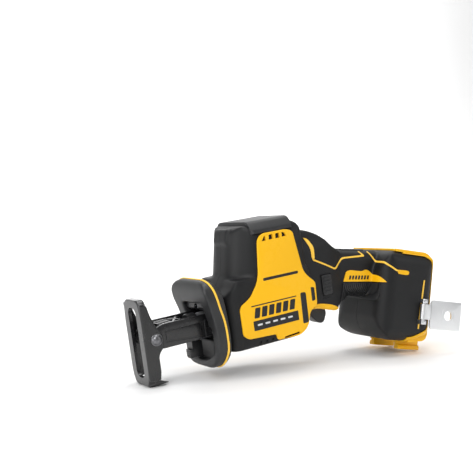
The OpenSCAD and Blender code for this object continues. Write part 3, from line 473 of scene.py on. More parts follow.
# %% Lamp lens
def lens_finish():
    """Clear polycarbonate with a slight frost."""
    material = bpy.data.materials.new("lamp_lens")
    material.use_nodes = True
    tree = material.node_tree
    shader = tree.nodes["Principled BSDF"]
    pits = place_group(material, GRAIN, Scale=300.0, Gloss=0.14, Swing=0.05)
    tree.links.new(pits.outputs["Roughness"], shader.inputs["Roughness"])
    shader.inputs["Base Color"].default_value = (0.86, 0.9, 0.95, 1)
    shader.inputs["Transmission Weight"].default_value = 0.7
    shader.inputs["IOR"].default_value = 1.49
    return material


lamp_lens = lens_finish()
print("lamp lens ready")

# %% [markdown]
# ## The moulded housing
# A real shell like this is two injection-moulded nylon halves with rubber moulded over them. The head is an
# upright box with a lower gear case, the neck and handle slope down, and the foot leans forward to take the
# battery. Most forms are the overlap of a side, a front and a top outline, and the skin joins them all.

# %% Housing outlines
FOOT = Matrix.Translation(Vector((275, 0, -10)) * MM) @ Matrix.Rotation(math.radians(16), 4, "Y")
HANDLE = Matrix.Translation(Vector((229, 0, 16)) * MM) @ Matrix.Rotation(math.radians(10.5), 4, "Y")
HEAD_LOWER = [(74, -25.5, 3), (144, -25.5, 8), (154, -19, 5), (158, -6, 4), (167, -2, 3), (168, 21, 3),
              (163, 27, 3), (162, 36, 0), (86, 36, 0), (82, 29, 4), (74, 21, 5)]
HEAD_UPPER = [(84, 28, 0), (163, 28, 0), (161, 42, 5), (162.5, 60, 4), (159, 76, 5), (150, 81, 5),
              (102, 81, 6), (95.5, 75, 6), (86, 42, 5)]
HEAD_BOW = [(0, -33, 26), (120, -33, 0), (120, 33, 0), (0, 33, 26)]
BOW = Matrix.Translation(Vector((86.5, 0, 28)) * MM) @ Matrix.Rotation(math.radians(11), 4, "Y")
FLARE = Matrix.Translation(Vector((77, 0, 23)) * MM) @ Matrix.Rotation(math.radians(35), 4, "Y")
HEAD_FRONT = mirrored([(33, -25.5, 5), (33, 71, 6), (26, 81, 5)])
NECK_SIDE = [(158, -5, 0), (176, -7, 2), (197, -14, 3), (201, -9, 3), (212, -4, 0), (212, 40, 0),
             (198, 49, 6), (190, 57.5, 5), (181, 64, 5), (170, 68, 4), (156, 69, 0)]
NECK_TOP = [(154, -24, 0), (190, -24, 8), (214, -16, 0), (214, 16, 0), (190, 24, 8), (154, 24, 0)]
NECK_FRONT = mirrored([(24, -14, 6), (24, 54, 8), (14, 70, 6)])
FOOT_SIDE = [(-34.5, -33, 6), (-26.5, -44.5, 8), (-15, -49.5, 4), (4, -49, 5), (29, -37.5, 6),
             (32, 28, 6), (22, 38, 6), (-26.5, 38, 10), (-34.5, 20, 8)]


def placed(thing, matrix):
    """Moves a mesh into a leaning frame."""
    thing.data.transform(matrix)
    return thing


def housing_parts():
    """The closed forms of the housing."""
    lower = three_views("head_lower", plate("s", HEAD_LOWER, "side", -33, 33),
                        plate("f", HEAD_FRONT, "front", 70, 180),
                        plate("t", [(74, -33, 16), (172, -33, 10), (172, 33, 10), (74, 33, 16)], "top", -30, 90))
    upper = three_views("head_upper", plate("s", HEAD_UPPER, "side", -33, 33),
                        plate("f", HEAD_FRONT, "front", 70, 180),
                        plate("t", block(74, 166, -33, 33, 14), "top", 20, 90))
    combine(upper, [placed(plate("b", HEAD_BOW, "top", -20, 80, steps=12), BOW)], MEET)
    flare = three_views("flare", plate("s", block(75, 150, 20, 42, 0), "side", -33, 33),
                        plate("f", HEAD_FRONT, "front", 70, 180),
                        placed(plate("b", HEAD_BOW, "top", -20, 80, steps=12), FLARE))
    neck = three_views("neck", plate("s", NECK_SIDE, "side", -24, 24), plate("f", NECK_FRONT, "front", 140, 230),
                       plate("t", NECK_TOP, "top", -30, 90))
    handle = placed(plate("handle", block(-18, 18, -22, 22, 11), "front", -36, 26, steps=8), HANDLE)
    foot = three_views("foot", plate("s", FOOT_SIDE, "side", -38, 38),
                       plate("f", block(-38, 38, -49.5, 38, 12), "front", -40, 40),
                       plate("t", block(-34.5, 32, -38, 38, 14), "top", -60, 60))
    lug = plate("lug", [(91.8, 66.8, 1.2), (97, 66, 0), (101, 79, 0), (95.2, 79.6, 1.5)], "side", -12, 12, 1.2)
    return [lower, upper, flare, neck, handle, placed(foot, FOOT), lug]


VOXEL = detail(1.15)
body_form = skin("body_form", housing_parts(), VOXEL, 7)
print("housing skin", len(body_form.data.polygons), "faces")

# %% [markdown]
# The closed skin is also the pattern for everything inlaid in it. A copy grown a little, less a copy shrunk a
# little, leaves a thin layer that follows every curve. Any outline pushed through that layer gives a badge, a
# stripe or a rib that sits in the surface, as a second shot of plastic does in a mould.

# %% Inlay helper
def copy_of(thing, name):
    """A separate copy with its own mesh."""
    twin = thing.copy()
    twin.data = thing.data.copy()
    twin.name = name
    bpy.context.scene.collection.objects.link(twin)
    return twin


def grown(thing, distance, voxel=0.0):
    """A copy whose surface is moved outwards by a distance in mm."""
    twin = copy_of(thing, "grown")
    push = twin.modifiers.new("push", "DISPLACE")
    push.strength = distance * MM
    push.mid_level = 0
    if voxel:
        remesh = twin.modifiers.new("skin", "REMESH")
        remesh.mode = "VOXEL"
        remesh.voxel_size = voxel * MM
    return apply_modifiers(twin)


def merge(name, things):
    """Puts several meshes in one object."""
    bm = bmesh.new()
    for thing in things:
        bm.from_mesh(thing.data)
        bpy.data.objects.remove(thing)
    return link(name, bm)


def inlay(name, cutters, rise=0.35, sink=1.2):
    """The part of a thin layer over the housing's skin that lies inside some closed outlines."""
    piece = merge(name, cutters)
    combine(piece, [grown(body_form, rise)], MEET, FAST)
    return combine(piece, [grown(body_form, -sink)], CUT, FAST)


def ribbon(points, width):
    """The outline of a stripe of one width along a line."""
    half = width / 2
    left, right_side = [], []
    for i, (a, b) in enumerate(points):
        before = Vector(points[max(i - 1, 0)])
        after = Vector(points[min(i + 1, len(points) - 1)])
        here = Vector((a, b))
        u = (here - before).normalized() if i else (after - here).normalized()
        v = (after - here).normalized() if i < len(points) - 1 else u
        along = (u + v).normalized()
        across = Vector((-along.y, along.x)) * half / max(0.4, along.dot(u))
        cut = 0 if i in (0, len(points) - 1) else 2.5
        left.append((here.x + across.x, here.y + across.y, cut))
        right_side.append((here.x - across.x, here.y - across.y, cut))
    return left + right_side[::-1]


def box(name, x, y, z):
    """A closed box between limits in mm."""
    return plate(name, block(x[0], x[1], z[0], z[1], 0), "side", y[0], y[1])


print("inlay helper ready")

# %% [markdown]
# The shell is hollowed to a 2.4 mm wall, and the windows for nose, trigger, lock button, battery and screws are
# cut. It is then parted along the middle with a fine gap, which is the seam down the front of the foot.

# %% Housing halves
SCREWS = [(83, -19.2, 33), (140, -18.9, 33), (104, 60, 28.7), (172, 44, 24), (236, 20, 18), (262, -32, 38)]
WALL, SCREW_WELL, HEAD_SUNK, SEAM_HALF = 2.4, 3.3, 5, 0.12
inner = grown(body_form, -WALL, 2.0)
shell = combine(copy_of(body_form, "shell"), [inner], CUT, FAST)
cuts = [box("c", (44, 84.6), (-18, 18), (-14, 21)), box("c", (174, 197), (-7.1, 7.1), (-40, 8)),
        box("c", (180.6, 192.4), (-40, 40), (3.1, 22.9)), placed(box("c", (-2, 34), (-23, 23), (-52, -38)), FOOT)]
for side in (-1, 1):
    low, high = span(side, 23.1, 40)
    cuts.append(plate("c", block(178.6, 194.4, 0.6, 25.2, 2.5), "side", low, high))
for index in range(3):
    x = 99 + 6.4 * index
    cuts.append(plate("c", [(x, -23.9, 0.6), (x + 3.2, -23.4, 0.6), (x + 4.4, -20.2, 0.6), (x + 1.4, -20.7, 0.6)],
                      "side", -40, -31.6))
for cut in cuts:
    combine(shell, [cut], CUT, FAST)
for x, z, half in SCREWS:
    combine(shell, [plate("c", circle(x, z, SCREW_WELL, 15), "side", half - HEAD_SUNK, 60)], CUT, FAST)
for label, low, high in (("left", -60, -SEAM_HALF), ("right", SEAM_HALF, 60)):
    half_shell = combine(copy_of(shell, "housing_" + label), [box("keep", (60, 330), (low, high), (-90, 100))],
                         MEET, FAST)
    half_shell.name = "shell_" + label
    fit(half_shell, "tool", shell_nylon, "housing_nylon", "housing_" + label, angle=50)
bpy.data.objects.remove(shell)

# %% [markdown]
# ## Yellow covers
# The covers are bright nylon plates that clip over the rubbered head. They are cut as a sheet is, their rims
# softened, and the vents and slots pierced. Behind the slots the dark shell shows through.

# %% Side covers
COVER_SIDE = [(85, -12, 2), (90, -16, 2), (118, -17.5, 2), (119, -23, 2), (144, -24, 6), (153, -18, 4),
              (157, -5, 3), (165.5, -1, 3), (166.5, 20.5, 3), (161, 25, 3), (155, 32, 5), (150.5, 60, 3),
              (149, 70, 3), (142, 72.5, 3), (117, 72.5, 3), (111.5, 68, 4), (107.5, 33, 7), (97, 19.5, 3),
              (85, 13, 4)]


SLOTS = [
    [(123, 65.9, 0.6), (127.6, 66.2, 0.6), (127.4, 70.6, 0.6), (123.4, 70.3, 0.6)],
    [(130, 65.9, 0.6), (134.6, 66.2, 0.6), (134.4, 70.6, 0.6), (130.4, 70.3, 0.6)],
    [(115.4, 65.6, 0.5), (120, 65.9, 0.5), (120, 70.2, 0.5), (118.4, 69.8, 1)],
    [(137, 66.4, 0.5), (141.6, 66.6, 0.5), (140, 70, 1), (137, 70.7, 0.5)],
    block(111.6, 149, 31.3, 33.9, 1.2),
    [(147.4, -14.5, 1), (153.8, -14.2, 1.2), (154.4, 13.2, 1.8), (148.2, 13.8, 1.8)],
    [(160, 3.4, 1), (164, 4, 1.2), (164.3, 15.6, 1.2), (160.2, 16.6, 1)],
    [(126, -23.2, 0.8), (142.8, -22.3, 0.8), (142.6, -20.4, 0.8), (125.8, -21.4, 0.8)],
]


def cover_slots(low, high):
    """Cutters for the vents and slots of one cover."""
    return [plate("c", slot, "side", low, high) for slot in SLOTS]


for label, side in SIDES:
    low, high = span(side, 32.2, 34.5)
    cover = plate("cover_" + label, COVER_SIDE, "side", low, high, 0.7, steps=8, segments=4)
    combine(cover, cover_slots(*span(side, 31, 36)), CUT)
    fit(cover, "tool", cover_yellow, "cover_yellow", "side_cover_" + label)
    low, high = span(side, 34.4, 34.58)
    bars = [plate("b", [(97.6 + 7.4 * k, 0.8, 0.8), (103 + 7.4 * k, 0.7, 0.8), (105.2 + 7.4 * k, 9.6, 0.8),
                        (99.8 + 7.4 * k, 9.7, 0.8)], "side", low, high) for k in range(6)]
    bars.append(plate("b", block(96, 143.5, 11.2, 12.2, 0.3), "side", low, high))
    bars.append(plate("b", block(96, 143.5, -10, -1.4, 0.6), "side", low, high))
    fit(merge("label_" + label, bars), "tool", label_black, "black_plastic")
    low, high = span(side, 32.6, 34.3)
    fills = [plate("f", slot, "side", low, high) for slot in SLOTS[4:7]]
    fit(merge("slot_rubber_" + label, fills), "tool", label_black, "black_plastic")
    low, high = span(side, 34.5, 34.64)
    marks = [plate("m", block(100 + 8 * k, 105 + 8 * k, -6.2, -4.6, 0.6), "side", low, high) for k in range(5)]
    fit(merge("label_marks_" + label, marks), "tool", plate_steel, "bright_steel")

# %% [markdown]
# ## Neck, handle and foot inlays
# Yellow stripes run over the neck and into the foot, a badge sits on the handle, and slanted ribs below it give
# the fingers a hold. All are inlays of the skin, so they bend with it.

# %% Stripes, badge and ribs
STRIPES = [
    [(168.6, 60.2, 1), (172.4, 58.8, 2), (176.8, 50.6, 3), (176, 40, 1), (174.4, 37.2, 0.5), (172.9, 41, 1),
     (173, 49, 3)],
    ribbon([(174.4, 38.6), (200.4, 25), (211.7, 33.4), (239, 30.9), (235.9, 35.4)], 1.5),
    ribbon([(246.6, 33.5), (251.3, 21.6), (259.5, 13.4), (264, 11.6)], 1.5),
    [(260.6, 13.9, 1), (272.5, 10.8, 2.2), (275, 9.2, 2.2), (273.6, 6.4, 2.2), (270, 6.9, 1.5), (261, 9.9, 1)],
    ribbon([(292.9, -2.6), (286.6, -21), (281.5, -36), (277.3, -48)], 1.5),
]
ARC = [(163.5, -1.6, 1), (177, -3, 3), (190, -6.6, 4), (199.4, -12.4, 2), (197, -17.6, 1), (187, -12.6, 4),
       (177, -8.6, 3), (163, -7.4, 1)]
BADGE_SIDE = [(-18, -8.4, 0.6), (21, -8.4, 0.6), (14, 1, 2), (9, 3.4, 2), (4, 1.4, 2), (-10, 2.6, 2), (-15, 1.4, 2)]
for label, low, high in (("left", -60, -4), ("right", 4, 60)):
    for index, stripe in enumerate(STRIPES):
        if label == "right" and index == 4:
            continue
        piece = inlay(f"stripe_{label}_{index}", [plate("s", stripe, "side", low, high)], 0.4)
        fit(piece, "tool", piping_yellow if index != 3 else cover_yellow, "piping_yellow")
    fit(inlay("arc_" + label, [plate("s", ARC, "side", low, high)], 0.7), "tool", cover_yellow, "cover_yellow")
    badge = inlay("handle_badge_" + label, [placed(plate("s", BADGE_SIDE, "side", low, high), HANDLE)], 0.8)
    fit(badge, "tool", cover_yellow, "cover_yellow", "badge_" + label)
    ticks = [placed(plate("t", [(-12 + 3.6 * k, -6.4, 0.3), (-9.8 + 3.6 * k, -6.4, 0.3), (-9 + 3.6 * k, -2.6, 0.3),
                                (-11.2 + 3.6 * k, -2.6, 0.3)], "side", low, high), HANDLE) for k in range(7)]
    fit(inlay("badge_marks_" + label, ticks, 0.92), "tool", label_black, "black_plastic")

ribs = []
for index in range(17):
    u = -19 + index * 2.35
    ribs.append(placed(plate("r", [(u - 3.4, -26, 0), (u - 2.2, -26, 0), (u + 0.6, -18, 3), (u + 1.9, -9.6, 0.4),
                                   (u + 0.7, -9.6, 0.4), (u - 0.6, -18, 3)], "side", -30, 30), HANDLE))
rib_pad = inlay("grip_ribs", ribs, 1.35)
fit(rib_pad, "tool", grip_rib_rubber, "grip_rubber", "grip_ribbed")
top_pad = inlay("top_grip", [placed(plate("p", block(-15, 12, 12, 30, 2), "side", -10, 10), HANDLE)], 0.9)
fit(top_pad, "tool", grip_rib_rubber, "grip_rubber", "grip_top")

# %% [markdown]
# ## Top cap
# The motor's end cap is a separate moulding: a chamfered lid whose rim steps in from the head.

# %% Cap
LID_FRONT = mirrored([(33.4, 73, 0), (32.4, 76, 1), (26, 83, 2), (22, 84, 1)])
lid = combine(plate("lid", LID_FRONT, "front", 108, 151, 0.5), [
    plate("t", block(108, 151, -34.5, 34.5, 6), "top", 60, 90, steps=8)], MEET)
combine(lid, [grown(body_form, -0.5)], CUT, FAST)
fit(lid, "tool", cap_nylon, "black_plastic", "top_cap")

# %% [markdown]
# ## Hand guard
# The guard is one rubber boot round the nose: two domed lobes in front, a deep window for the bracket, and a
# yellow piping pinched in its rim. Smoothing a voxel skin gives the lobes their domes.

# %% Guard and piping
GUARD_SIDE = [(57.5, -38, 5), (70, -37, 4), (74, -24, 5), (74, 8, 6), (71, 24, 6), (68, 36, 4), (63, 41.5, 3),
              (56, 41.5, 4), (53, 34, 5), (55.5, 22, 5), (60, 5, 8), (61, -12, 6)]
PIPING_SIDE = [(65.2, -40, 0), (67.4, -40, 0), (71.3, -20, 5), (70.6, 5, 5), (66, 20.5, 5), (63.6, 33, 4),
               (60.5, 46, 0), (58.6, 46, 0), (61.7, 33, 4), (64.1, 20, 5), (68.7, 5, 5), (69.4, -20, 5)]
RIM = mirrored([(20, -37, 8), (31, -26, 8), (33, -8, 6), (32, 6, 6), (35, 26, 9), (31, 37, 7), (20, 41.5, 6)])


def scaled_rim(grow):
    """The rim moved outwards by scaling it about its middle."""
    return [(y * (1 + grow / 33), 4 + (z - 4) * (1 + grow / 40), cut) for y, z, cut in RIM]


guard = combine(plate("g", GUARD_SIDE, "side", -40, 40, steps=8),
                [plate("r", RIM, "front", 40, 80, steps=8)], MEET)
combine(guard, [plate("w", block(-18, 18, -14, 21, 3), "front", 30, 90)], CUT)
recess = combine(plate("l", circle(0, 0, 31, start=-180, stop=1), "front", 40, 67),
                 [box("b", (30, 80), (-22, 22), (-40, 0))], MEET)
combine(guard, [recess], CUT)
guard = skin("guard", [guard], detail(0.9), detail(16))
piping = combine(plate("p", PIPING_SIDE, "side", -40, 40, steps=8),
                 [plate("r", scaled_rim(0.75), "front", 40, 80, steps=8)], MEET)
combine(piping, [plate("r", scaled_rim(-1.3), "front", 39, 81, steps=8)], CUT)
piping = skin("piping", [piping], detail(0.45), 3)
fit(guard, "tool", grip_rubber, "grip_rubber", "guard_boot", angle=60)
fit(piping, "tool", piping_yellow, "piping_yellow", "guard_piping", angle=60)

# %% [markdown]
# ## Shoe, rivets and bracket
# The shoe is pressed from 2 mm sheet and painted: a long ring, two flanges bent back and a spur at the foot.
# The bracket is a folded channel with pressed panels and ribs. Domed rivets let the shoe rock on it.

# %% Shoe
SHOE_FACE = mirrored([(14, -39, 5), (17.5, -27, 5), (17.5, 20, 5), (14, 35, 5)])
SHOE_FLANGE = [(0.4, -33, 0), (10.3, -35, 2), (11.8, -27, 2), (12, -13, 3), (17.2, -8, 3), (17.6, 4, 4), (13, 10, 3),
               (8.8, 20, 3), (6.5, 31, 3), (0.4, 32, 0)]
SHOE_SPUR = [(0.4, -38.5, 0), (2.3, -40, 1), (20.5, -39, 0), (11, -35, 2), (2, -33, 0), (0.4, -33, 0)]


def drill(thing, x, z, radius, low, high):
    """A round hole along Y."""
    return combine(thing, [plate("hole", circle(x, z, radius), "side", low, high)], CUT)


shoe_face = plate("shoe_face", SHOE_FACE, "front", 0, 7, 0.9, steps=8)
INNER_FACE = [(y * 0.885, z + (2 if z < 0 else -2), cut) for y, z, cut in SHOE_FACE]
combine(shoe_face, [plate("w", INNER_FACE, "front", 3.2, 12, steps=8)], CUT)
flanges = [plate("shoe_flange", SHOE_FLANGE, "side", *span(s, 15.5, 17.5), 0.5) for s in (-1, 1)]
spur = combine(plate("spur", SHOE_SPUR, "side", -14, 14, 0.4), [plate("s", block(-1, 21, -12, 12, 3), "top", -60, 0)],
               MEET)
shoe = skin("shoe_ring", [shoe_face, *flanges, spur], detail(0.55), 2)
combine(shoe, [plate("w", block(-8, 8, -32, 28, 6), "front", -1, 12, steps=8)], CUT, FAST)
combine(shoe, [plate("p", circle(PIVOT_X, 0, 3.02), "side", -30, 30)], CUT, FAST)
fit(shoe, "shoe", black_paint, "shoe_steel", "shoe", angle=50)


# %% Lathe helper and rivets
def lathe(name, profile, at, axis="Y", turn=1, steps=48):
    """Spins (radius, along) points in mm round an axis through a place."""
    bm = bmesh.new()
    verts = [bm.verts.new(Vector((r, 0, a * turn)) * MM) for r, a in profile]
    edges = [bm.edges.new(pair) for pair in zip(verts, verts[1:])]
    bmesh.ops.spin(bm, geom=verts + edges, cent=(0, 0, 0), axis=(0, 0, 1), angle=math.tau, steps=steps,
                   use_merge=True)
    bmesh.ops.remove_doubles(bm, verts=bm.verts, dist=1e-6)
    bmesh.ops.recalc_face_normals(bm, faces=bm.faces)
    lay = {"X": Matrix.Rotation(math.pi / 2, 4, "Y"), "Y": Matrix.Rotation(-math.pi / 2, 4, "X"),
           "Z": Matrix.Identity(4)}[axis]
    bmesh.ops.transform(bm, matrix=Matrix.Translation(Vector(at) * MM) @ lay, verts=bm.verts)
    return link(name, bm)


RIVET = [(0, 20.6), (1.4, 20.5), (2.7, 20.05), (3.7, 19.3), (4.3, 18.5), (4.5, 18.15), (4.9, 18.1), (5.15, 17.9),
         (5.2, 17.5), (3, 17.45), (3, 12.6), (2.4, 12.6), (0, 12.6)]
for label, turn in SIDES:
    fit(lathe("rivet_" + label, RIVET, (PIVOT_X, 0, 0), "Y", turn), "shoe", rivet_steel, "bright_steel",
        "shoe_rivet_" + label)

# %% Bracket
BRACKET_SIDE = [(5.9, -5.5, 3), (16.4, -9.4, 3), (75.4, -9.4, 0), (75.4, 11.5, 0), (18.4, 11.5, 4), (5.9, 5.5, 3)]
bracket_parts = []
for side in (-1, 1):
    low, high = span(side, 13, 15.2)
    ear = plate("ear", BRACKET_SIDE, "side", low, high, 0.5)
    low, high = span(side, 14.6, 16)
    combine(ear, [plate("c", [(20.2, -4.4, 1.2), (57, -7.6, 1.2), (57, 6.2, 1.2), (20.2, 6, 1.2)], "side",
                        low, high)], CUT)
    drill(ear, PIVOT_X, 0, 3.05, -20, 20)
    bracket_parts.append(ear)
    low, high = span(side, 14.2, 15.1)
    bracket_parts.append(plate("panel", [(21.6, -3.2, 0.8), (55.6, -6.2, 0.8), (55.6, 4.9, 0.8), (21.6, 4.7, 0.8)],
                               "side", low, high, 0.35))
for index in range(4):
    x = 19 + 3.4 * index
    bracket_parts.append(plate("rib", block(x, x + 1.4, 8.5, 10.9, 0.3), "side", -13.2, 13.2, 0.3))
for angle in (-32, 32):
    strut = plate("strut", block(-1, 1, 8.5, 10.7, 0.2), "side", -14.4, 14.4, 0.3)
    strut.data.transform(Matrix.Translation(Vector((38, 0, 0)) * MM) @ Matrix.Rotation(math.radians(angle), 4, "Z"))
    bracket_parts.append(strut)
for side in (-1, 1):
    bracket_parts.append(plate("lip", block(30, 47, 8.9, 10.1, 0.3), "side", *span(side, 9.5, 13.2), 0.3))
bracket_parts.append(plate("floor", block(19, 27, -9.4, -7.4, 0.3), "side", -13.2, 13.2, 0.4))
end = plate("end", block(-13.2, 13.2, -9.4, 11.5, 1), "front", 74.2, 75.4)
combine(end, [plate("c", circle(0, 0, 11.4), "front", 70, 80)], CUT)
bracket_parts.append(end)
fit(merge("channel_bracket", bracket_parts), "tool", black_paint, "shoe_steel", "shoe_bracket")
for label, side in SIDES:
    low, high = span(side, 15.2, 16)
    frame_plate = plate("clip_" + label, block(58, 66, -8.6, 6.8, 0.8), "side", low, high, 0.25)
    for z0, z1 in ((-7.4, -1.8), (-0.6, 5.6)):
        combine(frame_plate, [plate("c", block(59.2, 64.8, z0, z1, 0.6), "side", *span(side, 14, 17))],
                CUT)
    fit(frame_plate, "tool", black_nylon, "black_plastic")

# %% [markdown]
# ## Nose: trim, lamp, lever, spindle and clamp
# Round the bracket's root sit a trim with the work lamp and the lever that opens the blade clamp. The clamp is a
# turned sleeve with a blade slot, pinned to the ground spindle.

# %% Nose trim and lamp
trim = combine(plate("trim", [(60.5, 20.8, 1.5), (60.5, 14.5, 2), (64, 12.9, 2), (78, 12.9, 0), (78, 20.8, 0)],
                     "side", -30, 30), [plate("t", block(-17.8, 17.8, 12.9, 20.8, 3), "front", 50, 90, 0)], MEET)
combine(trim, [plate("c", circle(0, LAMP_Z, 3.25), "front", 50, 69.5)], CUT)
fit(trim, "tool", black_nylon, "black_plastic", "nose_trim")
fit(lathe("lamp", [(0, 62), (1.2, 62.05), (2.2, 62.4), (2.9, 63.1), (3.2, 64), (3.2, 69), (0, 69)],
          (0, 0, LAMP_Z), "X"), "tool", lamp_lens, "lamp_lens", "led_lens")

# %% Release lever
lever = lathe("lever_body", [(7.8, 49.2), (8, 49), (11.6, 49), (12.3, 49.7), (12.3, 56.4), (11.7, 57), (8, 57),
                             (7.8, 56.8), (7.8, 49.2)], (0, 0, 0), "X", steps=64)
tab = combine(plate("tab", block(-5, 5, -27, -9.8, 3), "front", 47, 59, 0.9),
              [plate("c", circle(0, 0, 11), "front", 40, 70)], CUT)
combine(tab, [box("c", (46, 49), (-6, 6), (-19, -5)), box("c", (57, 60), (-6, 6), (-12.7, -5))], CUT)
grips = [plate("grip", block(-4, 4, z, z + 0.9, 0.3), "front", 46.7, 47.4, 0.2) for z in (-25, -23.2, -21.4)]
fit(merge("clamp_lever", [lever, tab, *grips]), "release_lever", black_nylon, "black_plastic", "release_lever")

# %% Spindle nose and clamp
clamp = lathe("clamp", [(0, 25), (4.6, 25), (5.1, 25.4), (5.1, 27), (6.1, 27), (6.7, 27.6), (6.7, 31), (6.4, 31.3),
                        (6.4, 32.2), (6.7, 32.5), (6.7, 46.4), (6.2, 47), (5.55, 47), (5.55, 38.1), (0, 38.1)],
              (0, 0, 0), "X", steps=64)
combine(clamp, [box("c", (22, 38), (-0.9, 0.9), (-4.2, 4.2)), box("c", (26.5, 30), (-8, 8), (-1.6, 1.6))], CUT)
fit(clamp, "spindle", gear_steel, "bright_steel", "blade_clamp")

# %% [markdown]
# ## Trigger and lock button
# The trigger has a softened, slightly hollow face for the finger. The lock-off button crosses the neck, and its
# ends are ridged so that a thumb can push it either way.

# %% Trigger and lock
TRIGGER_SIDE = [(175, -3, 2), (175.5, -16, 2), (184, -25, 3), (190, -25.5, 3), (194, -17, 2), (192, -5, 1),
                (180, 3, 2), (175, 3, 2)]
trigger = plate("trigger_body", TRIGGER_SIDE, "side", -6.5, 6.5, 1.1, segments=4)
drill(trigger, 178, 0, 1.55, -20, 20)
combine(trigger, [box("c", (181, 190), (-4, 4), (-9, 10))], CUT)
trigger_grips = [plate("g", [(175.15, z, 0.2), (176.5, z, 0), (176.5, z + 0.8, 0), (175.1, z + 0.8, 0.2)],
                       "side", -5, 5, 0.2)
                 for z in (-15, -13.2, -11.4, -9.6)]
fit(merge("trigger_button", [trigger, *trigger_grips]), "trigger", black_nylon, "black_plastic", "trigger")

lock = plate("lock", block(181, 192, 3.5, 22.5, 2), "side", -24.4, 24.4, 0.6, segments=4)
lock_parts = [lock]
for side in (-1, 1):
    low, high = span(side, 24.2, 25.1)
    for k in range(5):
        lock_parts.append(plate("ridge", block(182.6, 190.4, 6.2 + 3 * k, 7.6 + 3 * k, 0.5), "side", low, high, 0.3))
fit(merge("lock_off_button", lock_parts), "lock_button", black_nylon, "black_plastic", "lock_button")

# %% [markdown]
# ## Foot: trim, rails and terminals
# A yellow bumper wraps the foot's top and rear corner. Underneath, two lipped rails and a row of bronze blades
# take the battery.

# %% Foot pieces
TRIM_SIDE = [(-20, 37, 0), (21, 37, 6), (31, 27, 6), (29, -36, 3), (6, -47, 0), (6, -50, 1), (27, -47.5, 4),
             (33.5, -37.5, 3), (33.5, 28, 6), (22, 39.5, 6), (-20, 39.5, 0)]
bumper = combine(plate("t", TRIM_SIDE, "side", -40, 40, 0.5, steps=8),
                 [plate("t", block(-24, 33.5, -33, 33, 6), "top", -60, 60)], MEET)
combine(bumper, [plate("c", block(-2, 34.5, -23, 23, 0), "top", -55, -38)], CUT)
placed(bumper, FOOT)
combine(bumper, [grown(body_form, -0.4)], CUT, FAST)
BAND = [(-11, 43, 0), (-11, 35.6, 0), (20, 35.6, 7), (28.8, 26, 7), (28.2, -34, 5), (8, -44, 3), (2, -45, 0),
        (2, -54, 0), (40, -54, 0), (40, 43, 0)]
band = inlay("band", [placed(plate("t", BAND, "side", -60, 60), FOOT)], 1.1)
combine(band, [placed(plate("c", block(-2, 34.5, -23, 23, 0), "top", -55, -38), FOOT)], CUT, FAST)
fit(merge("foot_bumper", [bumper, band]), "tool", cover_yellow, "piping_yellow", "foot_trim")

RAIL = [(15, -58, 0.8), (22, -58, 1.2), (22, -54, 1), (20, -53, 0.5), (20, -38.2, 0), (15, -38.2, 0)]
rail_parts = []
for side in (-1, 1):
    points = [(y * side, z, cut) for y, z, cut in RAIL]
    rail_parts.append(plate("rail", points if side > 0 else points[::-1], "front", 4, 31, 0.4))
rail_parts.append(plate("bridge", block(-15.2, 15.2, -40.5, -38.2, 0.2), "front", 4, 31, 0.3))
for y in (-18, 18):
    rail_parts.append(plate("stop", block(y - 2, y + 2, -52, -49, 0.6), "front", 2.6, 4.4, 0.3))
fit(placed(merge("battery_slides", rail_parts), FOOT), "tool", cover_yellow, "piping_yellow", "battery_rails")
terminal_parts = [plate("block", block(-12, 12, -44, -40.6, 0.6), "front", 8, 27, 0.4)]
for k in range(-2, 3):
    terminal_parts.append(plate("fin", block(5.6 * k - 0.5, 5.6 * k + 0.5, -46.2, -43.8, 0.3), "front", 9, 26, 0.2))
fit(placed(merge("terminal_holder", terminal_parts), FOOT), "tool", black_nylon, "black_plastic", "terminal_block")
blades = [plate("blade", [(12, -47.5, 1), (24, -47.5, 1), (24, -43.9, 0), (12, -43.9, 0)], "side",
                5.6 * (k + 0.5) - 0.4, 5.6 * (k + 0.5) + 0.4, 0.15) for k in range(-2, 2)]
fit(placed(merge("terminal_blades", blades), FOOT), "tool", bush_bronze, "bush_bronze", "terminals")

# %% [markdown]
# ## Hang plate
# A bright stamped plate swings on a pin at the foot's side. Its hole, its pressed bar and the small arc beside
# it are stamped in one stroke, and its barrel is rolled round the pin.

# %% Hang plate
plate_parts = [plate("leaf", [(23, -35, 3.5), (64, -35, 1.2), (64, -6.5, 1.2), (23, -6.5, 3.5)], "side",
                     -42.55, -41.05, 0.3, steps=8)]
drill(plate_parts[0], *HANG_HOLE, 4.75, -50, -30)
plate_parts.append(plate("neck", block(15, 24, -26.1, -11.1, 0.6), "side", -42.55, -41.05, 0.3))
plate_parts.append(lathe("barrel", [(1.65, -26), (3, -26.1), (3.2, -25.9), (3.2, -11.3), (3, -11.1),
                                    (1.65, -11.2), (1.65, -26)], HOOK_AXIS, "Z"))
for offset in (12.4, 16.6):
    plate_parts.append(plate("press", block(offset, offset + 1.3, -25.4, -11.8, 0.5), "side", -42.95, -42.4, 0.3))
plate_parts.append(plate("press", block(38.6, 40.3, -26, -15, 0.7), "side", -42.9, -42.4, 0.3))
arc = [point[:2] for point in circle(*HANG_HOLE, 7.6, start=-40, stop=41)]
plate_parts.append(plate("press", [(a, b, 0) for a, b, _ in ribbon(arc, 0.9)], "side", -42.85, -42.4, 0.2))
fit(placed(merge("hang_plate", plate_parts), FOOT), "hang_hook", plate_steel, "bright_steel", "hang_hook")
pin_parts = [lathe("pin", [(0, -31.2), (1.3, -31.2), (1.6, -30.9), (1.6, -6.3), (1.3, -6), (0, -6)],
                   HOOK_AXIS, "Z")]
for w in (-28.9, -8.3):
    pin_parts.append(plate("eye", [(11, -44.6, 1.4), (17, -44.6, 1.4), (17, -37.4, 0), (11, -37.4, 0)], "top",
                           w - 2.1, w + 2.1, 0.4))
